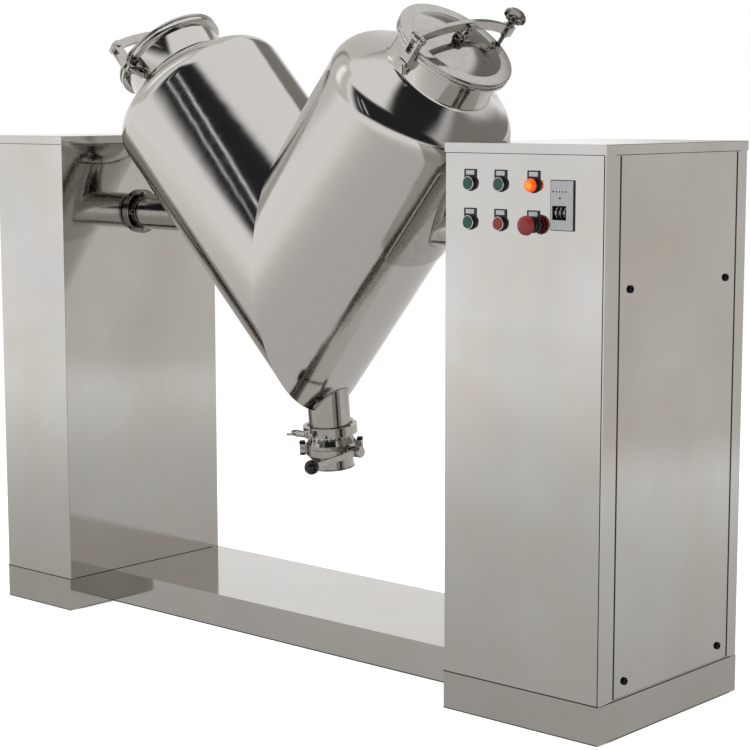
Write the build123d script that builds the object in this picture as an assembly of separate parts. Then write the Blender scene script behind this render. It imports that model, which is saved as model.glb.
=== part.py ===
from build123d import *
import os
from math import atan, cos, degrees, radians, sin, tan

# A V-shaped tumbling blender: a mitred two-arm tank turns between an idle cabinet and a drive cabinet.
# Millimetres, +Z up, +X towards the drive cabinet, -Y towards the control panel side.
# The origin is on the floor, midway between the cabinets' outer sides, under the shaft axis.

os.makedirs("parts", exist_ok=True)

# Driving dimensions of the standing structure
CABINET_HEIGHT = 1200.0
PLINTH_HEIGHT = 82.0
CABINET_DEPTH = 520.0
IDLE_WIDTH = 250.0
DRIVE_WIDTH = 400.0
CLEAR_GAP = 1230.0
SHEET = 2.0
BEAM_FRONT = -120.0
SHAFT_HEIGHT = 1005.0

# Driving dimensions of the tank, in its own frame: the shaft axis is X, and the outlet points down
TANK_TILT = 5.6
ARM_RADIUS = 222.0
ARM_HALF_ANGLE = 41.2
ARM_DROP = 125.0
TANK_WALL = 4.0
BARREL_END = 528.0
KNUCKLE_RADIUS = 60.0
KNUCKLE_TURN = 58.0
NECK_RADIUS = 125.0
NECK_WALL = 3.0
NECK_FLANGE_RADIUS = 137.5
NECK_FLANGE_TOP = 691.0
LID_UNDERSIDE = 695.0
LID_TOP = 703.0
TRUNNION_RADIUS = 37.0
OUTLET_RADIUS = 50.8
OUTLET_WALL = 3.0
FERRULE_RADIUS = 59.5
CLAMP_HEIGHT = -508.0
VALVE_STEM_HEIGHT = -557.0
VALVE_MOUTH = -603.0

# Clearances
RUNNING = 0.05
FREE = 0.3

# Places that follow from the driving dimensions
OUTER = (IDLE_WIDTH + CLEAR_GAP + DRIVE_WIDTH) / 2
IDLE_INNER = -OUTER + IDLE_WIDTH
DRIVE_INNER = OUTER - DRIVE_WIDTH
TANK_X = (IDLE_INNER + DRIVE_INNER) / 2
HALF_GAP = CLEAR_GAP / 2
FRONT = -CABINET_DEPTH / 2
BACK = CABINET_DEPTH / 2

TANK_PLACE = Pos(TANK_X, 0, SHAFT_HEIGHT) * Rot(TANK_TILT, 0, 0)
ARM_PLACE = Pos(0, 0, -ARM_DROP) * Rot(0, ARM_HALF_ANGLE, 0)
SIDES = {"right": 1, "left": -1}


def save(name, *shapes):
    """Writes one node from its solids."""
    solids = [solid for shape in shapes for solid in shape.solids()]
    export_step(solids[0] if len(solids) == 1 else Compound(solids), f"parts/{name}.step")


def block(x0, x1, y0, y1, z0, z1):
    """A box between two corners."""
    centre = Pos((x0 + x1) / 2, (y0 + y1) / 2, (z0 + z1) / 2)
    return centre * Box(x1 - x0, y1 - y0, z1 - z0)


def turned(*points):
    """A solid turned about Z from an outline of (radius, height) points."""
    return revolve(Plane.XZ * make_face(Polyline(*points, close=True)), Axis.Z)


def tube(outer, inner, low, high):
    """A plain tube along Z."""
    return turned((inner, low), (outer, low), (outer, high), (inner, high))


def rod(radius, low, high):
    """A solid round bar along Z."""
    return Pos(0, 0, (low + high) / 2) * Cylinder(radius, high - low)


def along_x(shape):
    """Turns a shape made along Z so that it lies along X."""
    return Rot(0, 90, 0) * shape


def along_y(shape):
    """Turns a shape made along Z so that it lies along Y, pointing to the back."""
    return Rot(-90, 0, 0) * shape


def hex_bolt(flats, head, radius, length):
    """A hexagon bolt whose head stands on Z = 0 and whose shank hangs below."""
    head_solid = extrude(RegularPolygon(flats / 2, 6, major_radius=False), head)
    return head_solid + rod(radius, -length, 0)


def on_side(shape, side):
    """Places a shape made in the right arm's frame on the right or the left arm."""
    in_tank = ARM_PLACE * shape
    if side < 0:
        in_tank = mirror(in_tank, about=Plane.YZ)
    return TANK_PLACE * in_tank


# Base frame: two long rails and the cross members between them, all rectangular steel tube
RAIL_WIDTH = 60.0
RAIL_HEIGHT = 80.0
RAIL_WALL = 4.0
FRONT_RAIL_Y = -86.0
REAR_RAIL_Y = 224.0


def base_frame():
    def box_tube(x0, x1, y0, y1, along):
        outer = block(x0, x1, y0, y1, 0, RAIL_HEIGHT)
        inset_x = 0 if along == "x" else RAIL_WALL
        inset_y = 0 if along == "y" else RAIL_WALL
        inner = block(
            x0 + inset_x, x1 - inset_x, y0 + inset_y, y1 - inset_y, RAIL_WALL, RAIL_HEIGHT - RAIL_WALL
        )
        return outer - inner

    half = RAIL_WIDTH / 2
    end = OUTER - 2 * SHEET
    rails = [box_tube(-end, end, y - half, y + half, "x") for y in (FRONT_RAIL_Y, REAR_RAIL_Y)]
    middle_x = (-end + half, IDLE_INNER - half, 0.0, DRIVE_INNER + half, end - half)
    cross = [
        box_tube(x - half, x + half, FRONT_RAIL_Y + half, REAR_RAIL_Y - half, "y") for x in middle_x
    ]
    front_x = (-end + half, IDLE_INNER - 2 * half, DRIVE_INNER + 2 * half, end - half)
    toes = [
        box_tube(x - half, x + half, FRONT + 2 * SHEET, FRONT_RAIL_Y - half, "y") for x in front_x
    ]
    return rails + cross + toes


save("base_frame", *base_frame())


# Cladding of the beam: one folded sheet, open underneath
def beam_cladding():
    outside = block(IDLE_INNER, DRIVE_INNER, BEAM_FRONT, BACK - SHEET, 0, PLINTH_HEIGHT)
    inside = block(IDLE_INNER, DRIVE_INNER, BEAM_FRONT + SHEET, BACK - 2 * SHEET, 0, RAIL_HEIGHT)
    return outside - inside


save("beam_cladding", beam_cladding())

# Plinths: folded sheet skirts with a lip on top, which leaves a fine groove under the cabinet
GROOVE = 1.5
PLINTH_LIP = 16.0


def plinth(x0, x1, inner_x):
    wall_top = PLINTH_HEIGHT - GROOVE
    walls = block(x0, x1, FRONT, BACK, 0, wall_top)
    walls -= block(x0 + SHEET, x1 - SHEET, FRONT + SHEET, BACK - SHEET, 0, wall_top)
    lip = block(x0 + GROOVE, x1 - GROOVE, FRONT + GROOVE, BACK - GROOVE, RAIL_HEIGHT, PLINTH_HEIGHT)
    lip -= block(
        x0 + PLINTH_LIP, x1 - PLINTH_LIP, FRONT + PLINTH_LIP, BACK - PLINTH_LIP, RAIL_HEIGHT, PLINTH_HEIGHT
    )
    beam_way = block(inner_x - 3, inner_x + 3, BEAM_FRONT, BACK - SHEET, 0, RAIL_HEIGHT)
    return walls + lip - beam_way


save("left_plinth", plinth(-OUTER, IDLE_INNER, IDLE_INNER))
save("right_plinth", plinth(DRIVE_INNER, OUTER, DRIVE_INNER))

# Cabinets: folded sheet boxes with small bend radii, open at the bottom and closed by a pan-shaped top
BEND = 3.0
TOP_EDGE = 20.0
TOP_OVERHANG = 2.0
SHAFT_HOLE = 40.0
DOOR_FRONT = FRONT + 52.0
DOOR_BACK = BACK - 40.0
DOOR_BOTTOM = PLINTH_HEIGHT + 3.0
DOOR_TOP = CABINET_HEIGHT - TOP_EDGE - 2.0
DOOR_RETURN = 52.0
DOOR_GAP = 1.5
DOOR_SCREWS = [(y, z) for y in (-170.0, 182.0) for z in (117.0, 915.0)]
DOOR_SCREW_HOLE = 4.5


def cabinet(x0, x1, wall_x):
    """A sheet box with a hole for the shaft in the wall that faces the tank."""
    top = CABINET_HEIGHT - SHEET
    outside = block(x0, x1, FRONT, BACK, PLINTH_HEIGHT, top)
    outside = fillet(outside.edges().filter_by(Axis.Z), BEND)
    inside = block(
        x0 + SHEET, x1 - SHEET, FRONT + SHEET, BACK - SHEET, PLINTH_HEIGHT, CABINET_HEIGHT
    )
    hole = Pos(wall_x, 0, SHAFT_HEIGHT) * along_x(rod(SHAFT_HOLE, -10, 10))
    return outside - inside - hole


# Control panel: two rows of 22 mm operators, each as (distance from the cabinet's side, height)
COLUMNS = (67.0, 145.0, 228.0)
ROWS = (1118.0, 1039.0)
CONTROLS = [(column, row) for row in ROWS for column in COLUMNS]
GREEN_PLACES = (CONTROLS[0], CONTROLS[1], CONTROLS[3])
LAMP_PLACE = CONTROLS[2]
RED_PLACE = CONTROLS[4]
STOP_PLACE = CONTROLS[5]
BUTTON_HOLE = 11.3
TIMER_CASE = (DRIVE_INNER + 271.0, DRIVE_INNER + 328.0, 1030.0, 1130.0)


def control_place(place):
    """A frame at a control's centre on the panel, with Z pointing out to the user."""
    return Pos(DRIVE_INNER + place[0], FRONT, place[1]) * Rot(90, 0, 0)


def control_holes():
    """The round and square cut-outs in the drive cabinet's front."""
    cuts = [control_place(c) * rod(BUTTON_HOLE, -5, 5) for c in CONTROLS]
    x0, x1, z0, z1 = TIMER_CASE
    cuts.append(block(x0 + 3, x1 - 3, FRONT - 1, FRONT + SHEET + 1, z0 + 3, z1 - 3))
    return cuts


def drive_cabinet():
    shell = cabinet(DRIVE_INNER, OUTER, DRIVE_INNER)
    opening = block(
        OUTER - 2 * SHEET, OUTER, DOOR_FRONT, DOOR_BACK, DOOR_BOTTOM, DOOR_TOP
    )
    rebate = block(
        OUTER - 2 * SHEET, OUTER - SHEET, DOOR_FRONT - SHEET, DOOR_BACK + SHEET,
        DOOR_BOTTOM - SHEET / 2, DOOR_TOP + SHEET / 2,
    )
    rebate -= block(
        OUTER - 2 * SHEET, OUTER, DOOR_FRONT + DOOR_RETURN, DOOR_BACK - DOOR_RETURN,
        DOOR_BOTTOM + DOOR_RETURN, DOOR_TOP - DOOR_RETURN,
    )
    shell = shell - opening + rebate
    for y, z in DOOR_SCREWS:
        shell -= Pos(OUTER, y, z) * along_x(rod(DOOR_SCREW_HOLE, -10, 10))
    for cut in control_holes():
        shell -= cut
    return shell


def access_door():
    door = block(
        OUTER - SHEET, OUTER, DOOR_FRONT + DOOR_GAP, DOOR_BACK - DOOR_GAP,
        DOOR_BOTTOM + DOOR_GAP, DOOR_TOP - DOOR_GAP,
    )
    for y, z in DOOR_SCREWS:
        door -= Pos(OUTER, y, z) * along_x(rod(DOOR_SCREW_HOLE, -10, 10))
    return door


def door_screws():
    screw = turned((0, -12), (4.4, -12), (4.4, 0), (8, 0), (8, 3.5), (6.5, 5), (0, 5))
    screw -= extrude(RegularPolygon(3, 6, major_radius=False), 10).moved(Pos(0, 0, 1.5))
    return [Pos(OUTER, y, z) * along_x(screw) for y, z in DOOR_SCREWS]


def cabinet_top(x0, x1):
    """A pan with turned-down edges that sits over the cabinet."""
    low = CABINET_HEIGHT - TOP_EDGE
    outside = block(
        x0 - TOP_OVERHANG, x1 + TOP_OVERHANG, FRONT - TOP_OVERHANG, BACK + TOP_OVERHANG, low, CABINET_HEIGHT
    )
    outside = fillet(outside.edges().filter_by(Axis.Z), BEND)
    outside = fillet(outside.edges().group_by(Axis.Z)[-1], 1.5)
    return outside - block(x0, x1, FRONT, BACK, low, CABINET_HEIGHT - SHEET)


save("left_cabinet", cabinet(-OUTER, IDLE_INNER, IDLE_INNER))
save("right_cabinet", drive_cabinet())
save("left_cabinet_top", cabinet_top(-OUTER, IDLE_INNER))
save("right_cabinet_top", cabinet_top(DRIVE_INNER, OUTER))
save("access_door", access_door())
save("door_screws", *door_screws())

# Inner frames: square posts on the base frame, with a plate across them that carries each bearing
POST = 50.0
POST_WALL = 3.0
POST_INNER_Y = 120.0
POST_TOP = 1150.0
PLATE = 12.0
PLATE_LOW = 900.0
PLATE_HIGH = 1110.0
PLATE_GAP = 7.0
REAR_PLATE_X = DRIVE_INNER + 306.0
BORE_IN_PLATE = 38.0


def bearing_plate(x0):
    plate = block(x0, x0 + PLATE, -POST_INNER_Y - POST, POST_INNER_Y + POST, PLATE_LOW, PLATE_HIGH)
    return plate - Pos(x0, 0, SHAFT_HEIGHT) * along_x(rod(BORE_IN_PLATE, -50, 50))


def post(x0, y0):
    outside = block(x0, x0 + POST, y0, y0 + POST, RAIL_HEIGHT, POST_TOP)
    inside = block(
        x0 + POST_WALL, x0 + POST - POST_WALL, y0 + POST_WALL, y0 + POST - POST_WALL, RAIL_HEIGHT, POST_TOP
    )
    return outside - inside


def support_posts():
    drive_plate = DRIVE_INNER + PLATE_GAP
    idle_plate = IDLE_INNER - PLATE_GAP
    plates = [bearing_plate(x) for x in (drive_plate, REAR_PLATE_X, idle_plate - PLATE)]
    corners = (drive_plate + PLATE, REAR_PLATE_X + PLATE, idle_plate - PLATE - POST)
    posts = [post(x, y) for x in corners for y in (-POST_INNER_Y - POST, POST_INNER_Y)]
    ties = [
        block(x, x + POST, -POST_INNER_Y, POST_INNER_Y, RAIL_HEIGHT, RAIL_HEIGHT + 8) for x in corners
    ]
    return plates + posts + ties


# Bearings: a flanged housing bolted to each plate, and an insert that turns with the shaft
INSERT_RADIUS = 41.0
INSERT_END = 54.0
HOUSING_RADIUS = 58.0
HOUSING_FLANGE = 150.0
HOUSING_FLANGE_THICK = 16.0
HOUSING_LENGTH = 44.0
HOUSING_BOLTS = 53.0
SEAT_RADIUS = 30.0
TAIL_RADIUS = 25.0


def housing_bolt_spots():
    return [Pos(x, y, 0) for x in (-HOUSING_BOLTS, HOUSING_BOLTS) for y in (-HOUSING_BOLTS, HOUSING_BOLTS)]


def bearing_housing():
    """The flange stands on Z = 0, and the bore runs along Z."""
    top = HOUSING_LENGTH
    flange = extrude(RectangleRounded(HOUSING_FLANGE, HOUSING_FLANGE, 22), HOUSING_FLANGE_THICK)
    hub = turned((0, 0), (HOUSING_RADIUS, 0), (HOUSING_RADIUS, top - 10), (HOUSING_RADIUS - 8, top), (0, top))
    body = flange + hub - rod(INSERT_RADIUS + RUNNING, 1, top + 10) - rod(BORE_IN_PLATE, -1, 2)
    for spot in housing_bolt_spots():
        body -= spot * rod(6.5, -1, HOUSING_FLANGE_THICK + 1)
    return body


def bearing_insert(bore):
    """The steel ring that grips the shaft, with its set-screw collar standing out of the housing."""
    return turned(
        (bore, 1 + FREE), (INSERT_RADIUS, 1 + FREE), (INSERT_RADIUS, HOUSING_LENGTH - 4),
        (INSERT_RADIUS - 4, HOUSING_LENGTH), (INSERT_RADIUS - 4, INSERT_END), (bore, INSERT_END),
    )


# Each bearing's place: its flange face, with Z pointing into the cabinet or away from the plate
BEARINGS = (
    (DRIVE_INNER + PLATE_GAP + PLATE, 1, SEAT_RADIUS),
    (REAR_PLATE_X, -1, TAIL_RADIUS),
    (IDLE_INNER - PLATE_GAP - PLATE, -1, SEAT_RADIUS),
)


def bearing_place(x, direction):
    return Pos(x, 0, SHAFT_HEIGHT) * Rot(0, 90 * direction, 0)


save("support_posts", *support_posts())
save("bearing_housings", *[bearing_place(x, d) * bearing_housing() for x, d, _ in BEARINGS])
save("bearing_inserts", *[bearing_place(x, d) * bearing_insert(bore) for x, d, bore in BEARINGS])


# Shaft covers: a stepped flange with four hexagon bolts on each wall that the shaft goes through
COVER_RADIUS = 56.0
COVER_LENGTH = 18.0
COVER_FLANGE = 10.5
COVER_BOLT_CIRCLE = 88.0
NECK_OF_SHAFT = 32.0


def shaft_cover():
    """The flange stands on Z = 0 against the wall and points to the tank."""
    bore = NECK_OF_SHAFT + 1
    body = turned(
        (bore, 0), (COVER_RADIUS, 0), (COVER_RADIUS, COVER_FLANGE - 1.5), (COVER_RADIUS - 1.5, COVER_FLANGE),
        (bore + 5, COVER_FLANGE), (bore + 5, COVER_LENGTH - 1), (bore + 4, COVER_LENGTH), (bore, COVER_LENGTH),
    )
    for spot in PolarLocations(COVER_BOLT_CIRCLE / 2, 4):
        body -= spot * rod(4.2, -1, 20)
    return body


def cover_bolts():
    bolt = Pos(0, 0, COVER_FLANGE) * hex_bolt(10, 6.0, 4.0, COVER_FLANGE - 0.1)
    return [spot * bolt for spot in PolarLocations(COVER_BOLT_CIRCLE / 2, 4)]


COVER_PLACES = (
    Pos(DRIVE_INNER, 0, SHAFT_HEIGHT) * Rot(0, -90, 0),
    Pos(IDLE_INNER, 0, SHAFT_HEIGHT) * Rot(0, 90, 0),
)


def bearing_bolts():
    bolt = Pos(0, 0, HOUSING_FLANGE_THICK) * hex_bolt(19, 8, 6.0, HOUSING_FLANGE_THICK - 0.1)
    return [bearing_place(x, d) * spot * bolt for x, d, _ in BEARINGS for spot in housing_bolt_spots()]


save("shaft_covers", *[place * shaft_cover() for place in COVER_PLACES])
save("flange_bolts", *[place * bolt for place in COVER_PLACES for bolt in cover_bolts()], *bearing_bolts())

# Worm reducer: the hollow output sleeve sits on the drive shaft, and the motor hangs on the input flange
REDUCER_X0 = DRIVE_INNER + 125.0
REDUCER_X1 = DRIVE_INNER + 235.0
HUB_OVERHANG = 10.0
SLEEVE_RADIUS = 34.0
WORM_OFFSET = 110.0
MOTOR_X = (REDUCER_X0 + REDUCER_X1) / 2
MOTOR_TOP = SHAFT_HEIGHT - 124.0
MOTOR_RADIUS = 68.0
MOTOR_LENGTH = 230.0
FINS = 16
INPUT_FLANGE = 80.0
TORQUE_PIN_Y = -124.0
TORQUE_PIN = 8.0


def reducer_housing():
    z0 = SHAFT_HEIGHT - 100
    body = block(REDUCER_X0, REDUCER_X1, -100, WORM_OFFSET + 55, z0, SHAFT_HEIGHT + 100)
    body = fillet(body.edges().filter_by(Axis.X), 38)
    hub = Pos(REDUCER_X0 - HUB_OVERHANG, 0, SHAFT_HEIGHT) * along_x(
        rod(62, 0, REDUCER_X1 - REDUCER_X0 + 2 * HUB_OVERHANG)
    )
    input_neck = Pos(MOTOR_X, WORM_OFFSET, 0) * turned(
        (0, MOTOR_TOP), (INPUT_FLANGE, MOTOR_TOP), (INPUT_FLANGE, MOTOR_TOP + 12), (50, MOTOR_TOP + 16),
        (50, z0 + 20), (0, z0 + 20),
    )
    lug = block(MOTOR_X - 12, MOTOR_X + 12, -140, -90, SHAFT_HEIGHT - 20, SHAFT_HEIGHT + 20)
    lug -= Pos(MOTOR_X, TORQUE_PIN_Y, SHAFT_HEIGHT) * along_x(rod(TORQUE_PIN, -20, 20))
    bore = Pos(MOTOR_X, 0, SHAFT_HEIGHT) * along_x(rod(SLEEVE_RADIUS + RUNNING, -90, 90))
    return body + hub + input_neck + lug - bore


def torque_arm():
    """A flat bar from the reducer's lug to the front post, with its pin."""
    z0, z1 = SHAFT_HEIGHT - 20, SHAFT_HEIGHT + 20
    bar = block(MOTOR_X + 13, REAR_PLATE_X, -150, -102, z0, z1)
    bar -= block(MOTOR_X + 21, REAR_PLATE_X - 12, -150, -102, z0 + 8, z1 - 8)
    pin = Pos(MOTOR_X, TORQUE_PIN_Y, SHAFT_HEIGHT) * along_x(rod(TORQUE_PIN - 0.1, -16, 30))
    return bar + pin


def motor():
    """A finned motor hanging from its flange, with a fan cover and a terminal box."""
    top = MOTOR_TOP
    low = top - 12 - MOTOR_LENGTH
    place = Pos(MOTOR_X, WORM_OFFSET, 0)
    shell = place * turned((0, low), (MOTOR_RADIUS - 8, low), (MOTOR_RADIUS - 8, top - 12), (0, top - 12))
    flange = place * rod(INPUT_FLANGE, top - 12, top)
    fin = block(MOTOR_RADIUS - 10, MOTOR_RADIUS, -1.5, 1.5, low + 8, top - 20)
    fins = [place * Rot(0, 0, 360 * n / FINS) * fin for n in range(FINS)]
    body = shell + flange + fins
    cap = place * turned(
        (0, low - 55), (52, low - 55), (MOTOR_RADIUS + 2, low - 38), (MOTOR_RADIUS + 2, low), (0, low)
    )
    for n in range(-3, 4):
        width = 40 - 4 * abs(n)
        cap -= place * block(-width, width, n * 12 - 2, n * 12 + 2, low - 60, low - 50)
    box = block(
        MOTOR_X + MOTOR_RADIUS - 9, MOTOR_X + MOTOR_RADIUS + 36, WORM_OFFSET - 38, WORM_OFFSET + 38,
        top - 150, top - 50,
    )
    box = fillet(box.edges().filter_by(Axis.X), 8)
    return body + box, cap


save("reducer_housing", reducer_housing(), torque_arm())
save("motor", *motor())
save(
    "output_sleeve",
    Pos(MOTOR_X, 0, SHAFT_HEIGHT) * along_x(
        tube(SLEEVE_RADIUS, TAIL_RADIUS, -(REDUCER_X1 - REDUCER_X0) / 2 - 12, (REDUCER_X1 - REDUCER_X0) / 2 + 12)
    ),
)


# Electrical plate behind the motor, with a breaker, two contactors and a terminal strip
def electrical_plate():
    x0 = DRIVE_INNER + 90
    y1 = BACK - SHEET - 4
    plate = block(x0, x0 + 230, y1 - 3, y1, 190, 510)
    rails = [block(x0 + 10, x0 + 220, y1 - 10, y1 - 3, z - 17, z + 17) for z in (260, 420)]
    breaker = block(x0 + 20, x0 + 74, y1 - 80, y1 - 10, 380, 462)
    breaker += block(x0 + 41, x0 + 53, y1 - 90, y1 - 80, 412, 430)
    contactors = []
    for n in range(2):
        left = x0 + 90 + n * 62
        unit = block(left, left + 48, y1 - 86, y1 - 10, 380, 460)
        unit += block(left + 8, left + 40, y1 - 94, y1 - 86, 398, 442)
        contactors.append(unit)
    terminals = [
        block(x0 + 20 + n * 12, x0 + 30 + n * 12, y1 - 50, y1 - 10, 238, 282) for n in range(16)
    ]
    return [plate, breaker] + rails + contactors + terminals


save("electrical_plate", *electrical_plate())

# Push buttons: a bezel with a threaded body behind the sheet, and a cap that travels inside it
BEZEL_RADIUS = 14.0
BEZEL_PROUD = 10.0
BEZEL_INSIDE = 12.2
LEGEND_THICK = 2.0
STEM_RADIUS = 8.3
STEM_HOLE = 8.6
BUTTON_TRAVEL = 4.0
CAP_RADIUS = 11.8
STOP_RADIUS = 20.0
STOP_BACK = 18.0
STOP_STEM_TOP = 27.0
CAP_FLOOR = 3.5


def button_body():
    """Z = 0 is the panel face. The ring stands on the legend plate, and the body runs back."""
    ring = turned(
        (STEM_HOLE, LEGEND_THICK), (BEZEL_RADIUS, LEGEND_THICK), (BEZEL_RADIUS, BEZEL_PROUD - 1),
        (BEZEL_RADIUS - 0.8, BEZEL_PROUD), (BEZEL_INSIDE, BEZEL_PROUD), (BEZEL_INSIDE, CAP_FLOOR), (STEM_HOLE, CAP_FLOOR),
    )
    barrel = turned((STEM_HOLE, -28), (11.0, -28), (11.0, LEGEND_THICK), (STEM_HOLE, LEGEND_THICK))
    contact = block(-15, 15, -20, 20, -56, -28)
    return ring + barrel + contact


def legend_plate():
    """A black tab with a label window, on a ring round the button."""
    plate = extrude(Circle(16) + Pos(0, 14) * RectangleRounded(31, 30, 1.5), LEGEND_THICK)
    plate -= rod(BUTTON_HOLE, -1, 5)
    return plate - block(-11, 11, 17, 26.5, LEGEND_THICK - 0.6, LEGEND_THICK + 1)


def button_cap():
    """A dished cap on its stem, standing 1 mm out of the ring."""
    face = BEZEL_PROUD + 0.6
    back = CAP_FLOOR + BUTTON_TRAVEL + FREE
    head = turned(
        (0, back), (CAP_RADIUS, back), (CAP_RADIUS, face - 0.8), (CAP_RADIUS - 0.8, face), (9, face),
        (0, face - 0.8),
    )
    return head + rod(STEM_RADIUS, -20, back)


def pilot_lens():
    """The lamp's domed lens, seated in its ring."""
    return turned(
        (0, CAP_FLOOR), (CAP_RADIUS, CAP_FLOOR), (CAP_RADIUS, BEZEL_PROUD), (13.4, BEZEL_PROUD), (13.4, 13), (12.2, 16.5),
        (9.5, 18.5), (5, 19.6), (0, 20),
    )


def stop_stem():
    return rod(STEM_RADIUS, -20, STOP_STEM_TOP)


def stop_cap():
    """The mushroom head, which turns on its stem."""
    rim = STOP_BACK + 3
    head = turned(
        (0, STOP_BACK), (12.5, STOP_BACK), (12.5, rim), (STOP_RADIUS - 1, rim + 1), (STOP_RADIUS, rim + 3),
        (STOP_RADIUS - 1, rim + 8), (14, rim + 11.5), (7, rim + 13), (0, rim + 13.5),
    )
    return head - rod(STEM_RADIUS + RUNNING, 10, STOP_STEM_TOP + FREE)


save("button_bodies", *[control_place(c) * button_body() for c in CONTROLS])
save("legend_plates", *[control_place(c) * legend_plate() for c in CONTROLS])
for number, spot in enumerate(GREEN_PLACES, 1):
    save(f"green_button_{number}", control_place(spot) * button_cap())
save("red_button", control_place(RED_PLACE) * button_cap())
save("pilot_lens", control_place(LAMP_PLACE) * pilot_lens())
save("stop_stem", control_place(STOP_PLACE) * stop_stem())
save("stop_cap", control_place(STOP_PLACE) * stop_cap())

# Timer: a flush case with a bezel, whose window shows three digit wheels on one spindle
TIMER_PROUD = 3.0
TIMER_DEPTH = 72.0
WHEEL_RADIUS = 13.0
WHEEL_WIDTH = 8.0
WHEEL_PITCH = 10.0
WHEEL_X = DRIVE_INNER + 293.0
WHEEL_Z = 1065.0
WHEEL_Y = FRONT + 11.6
SPINDLE = 3.0


def timer_case():
    x0, x1, z0, z1 = TIMER_CASE
    body = block(x0 + 4, x1 - 4, FRONT, FRONT + TIMER_DEPTH, z0 + 4, z1 - 4)
    face = block(x0, x1, FRONT - TIMER_PROUD, FRONT, z0, z1)
    face = fillet(face.edges().filter_by(Axis.Y), 1.5)
    window = block(WHEEL_X - 17, WHEEL_X + 17, FRONT - 5, FRONT + 27, WHEEL_Z - 14, WHEEL_Z + 14)
    spindle = Pos(WHEEL_X, WHEEL_Y, WHEEL_Z) * along_x(rod(SPINDLE, -17.5, 17.5))
    return body + face - window + spindle


def timer_wheel(n):
    """A ten-sided digit wheel, free on the spindle."""
    wheel = extrude(RegularPolygon(WHEEL_RADIUS, 10, major_radius=True), WHEEL_WIDTH / 2, both=True)
    wheel -= rod(SPINDLE + RUNNING, -10, 10)
    return Pos(WHEEL_X + n * WHEEL_PITCH, WHEEL_Y, WHEEL_Z) * along_x(wheel)


save("timer_case", timer_case())
for n in (-1, 0, 1):
    save(f"timer_wheel_{n + 2}", timer_wheel(n))

# Tank shell: each arm is a barrel cut on the mitre plane, a crown with a rounded knuckle, and a neck
ANGLE = radians(ARM_HALF_ANGLE)
TURN = radians(KNUCKLE_TURN)
INNER_RADIUS = ARM_RADIUS - TANK_WALL
NECK_INSIDE = NECK_RADIUS - NECK_WALL
KNUCKLE_CENTRE = ARM_RADIUS - KNUCKLE_RADIUS
BARREL_START = -ARM_RADIUS / tan(ANGLE) - 20
OUTLET_INSIDE = OUTLET_RADIUS - OUTLET_WALL
SHELL_HOLE = OUTLET_INSIDE - 1.3


def crown_line(radius):
    """Where the cone that follows the knuckle ends on the neck, for a knuckle of this radius."""
    r = KNUCKLE_CENTRE + radius * cos(TURN)
    z = BARREL_END + radius * sin(TURN)
    end = NECK_RADIUS if radius == KNUCKLE_RADIUS else NECK_INSIDE
    return (r, z), (end, z + (r - end) / tan(TURN))


def arm_bar(radius):
    """A solid bar of the right arm, cut on the mitre plane, in the tank's frame."""
    bar = ARM_PLACE * rod(radius, BARREL_START, BARREL_END)
    return bar & block(0, 2000, -1000, 1000, -1000, 2000)


def barrel():
    outlet_hole = rod(SHELL_HOLE, -480, -330)
    return arm_bar(ARM_RADIUS) - arm_bar(INNER_RADIUS) - outlet_hole


def crown():
    inner_knuckle = KNUCKLE_RADIUS - TANK_WALL
    (ro, zo), (ro_end, zo_end) = crown_line(KNUCKLE_RADIUS)
    (ri, zi), (ri_end, zi_end) = crown_line(inner_knuckle)
    centre = (KNUCKLE_CENTRE, BARREL_END)
    edges = [
        CenterArc(centre, KNUCKLE_RADIUS, 0, KNUCKLE_TURN),
        Line((ro, zo), (ro_end, zo_end)),
        Line((ro_end, zo_end), (ri_end, zi_end)),
        Line((ri_end, zi_end), (ri, zi)),
        CenterArc(centre, inner_knuckle, 0, KNUCKLE_TURN),
        Line((KNUCKLE_CENTRE + inner_knuckle, BARREL_END), (ARM_RADIUS, BARREL_END)),
    ]
    return revolve(Plane.XZ * make_face(edges), Axis.Z)


def neck():
    """A rolled neck with a weld bead at its foot and a turned flange at its mouth."""
    _, (_, low) = crown_line(KNUCKLE_RADIUS)
    _, (_, low_inside) = crown_line(KNUCKLE_RADIUS - TANK_WALL)
    top = NECK_FLANGE_TOP
    return turned(
        (NECK_INSIDE, low_inside), (NECK_RADIUS, low), (NECK_RADIUS + 2, low + 1), (NECK_RADIUS + 2, low + 4),
        (NECK_RADIUS, low + 5), (NECK_RADIUS, top - 8), (NECK_FLANGE_RADIUS - 1.5, top - 8),
        (NECK_FLANGE_RADIUS, top - 6.5), (NECK_FLANGE_RADIUS, top - 1.5), (NECK_FLANGE_RADIUS - 1.5, top),
        (NECK_INSIDE, top),
    )


def in_tank(shape, side):
    """Places a shape made for the right half of the tank on the right or the left half."""
    return TANK_PLACE * (shape if side > 0 else mirror(shape, about=Plane.YZ))


# Trunnions: a rolled saddle pad and a tube on each arm, and a turned shaft with its collar
PAD_THICK = 4.0
PAD_LOW = 245.0
PAD_HIGH = 524.0
PAD_ANGLE = 60.0
PAD_CORNER = 18.0
COLLAR_RADIUS = 44.0
COLLAR_FROM_WALL = 30.0
COLLAR_THICK = 6.0
SPIGOT_RADIUS = 29.0
SPIGOT_LENGTH = 70.0


def saddle_pad():
    outer = ARM_RADIUS + PAD_THICK
    strip = make_face(
        Polyline((ARM_RADIUS, PAD_LOW), (outer, PAD_LOW), (outer, PAD_HIGH), (ARM_RADIUS, PAD_HIGH), close=True)
    )
    pad = Rot(0, 0, -PAD_ANGLE / 2) * revolve(Plane.XZ * strip, Axis.Z, PAD_ANGLE)
    corners = [
        e for e in pad.edges().filter_by(GeomType.LINE) if abs(e.length - PAD_THICK) < 0.1
    ]
    return fillet(corners, PAD_CORNER)


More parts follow.
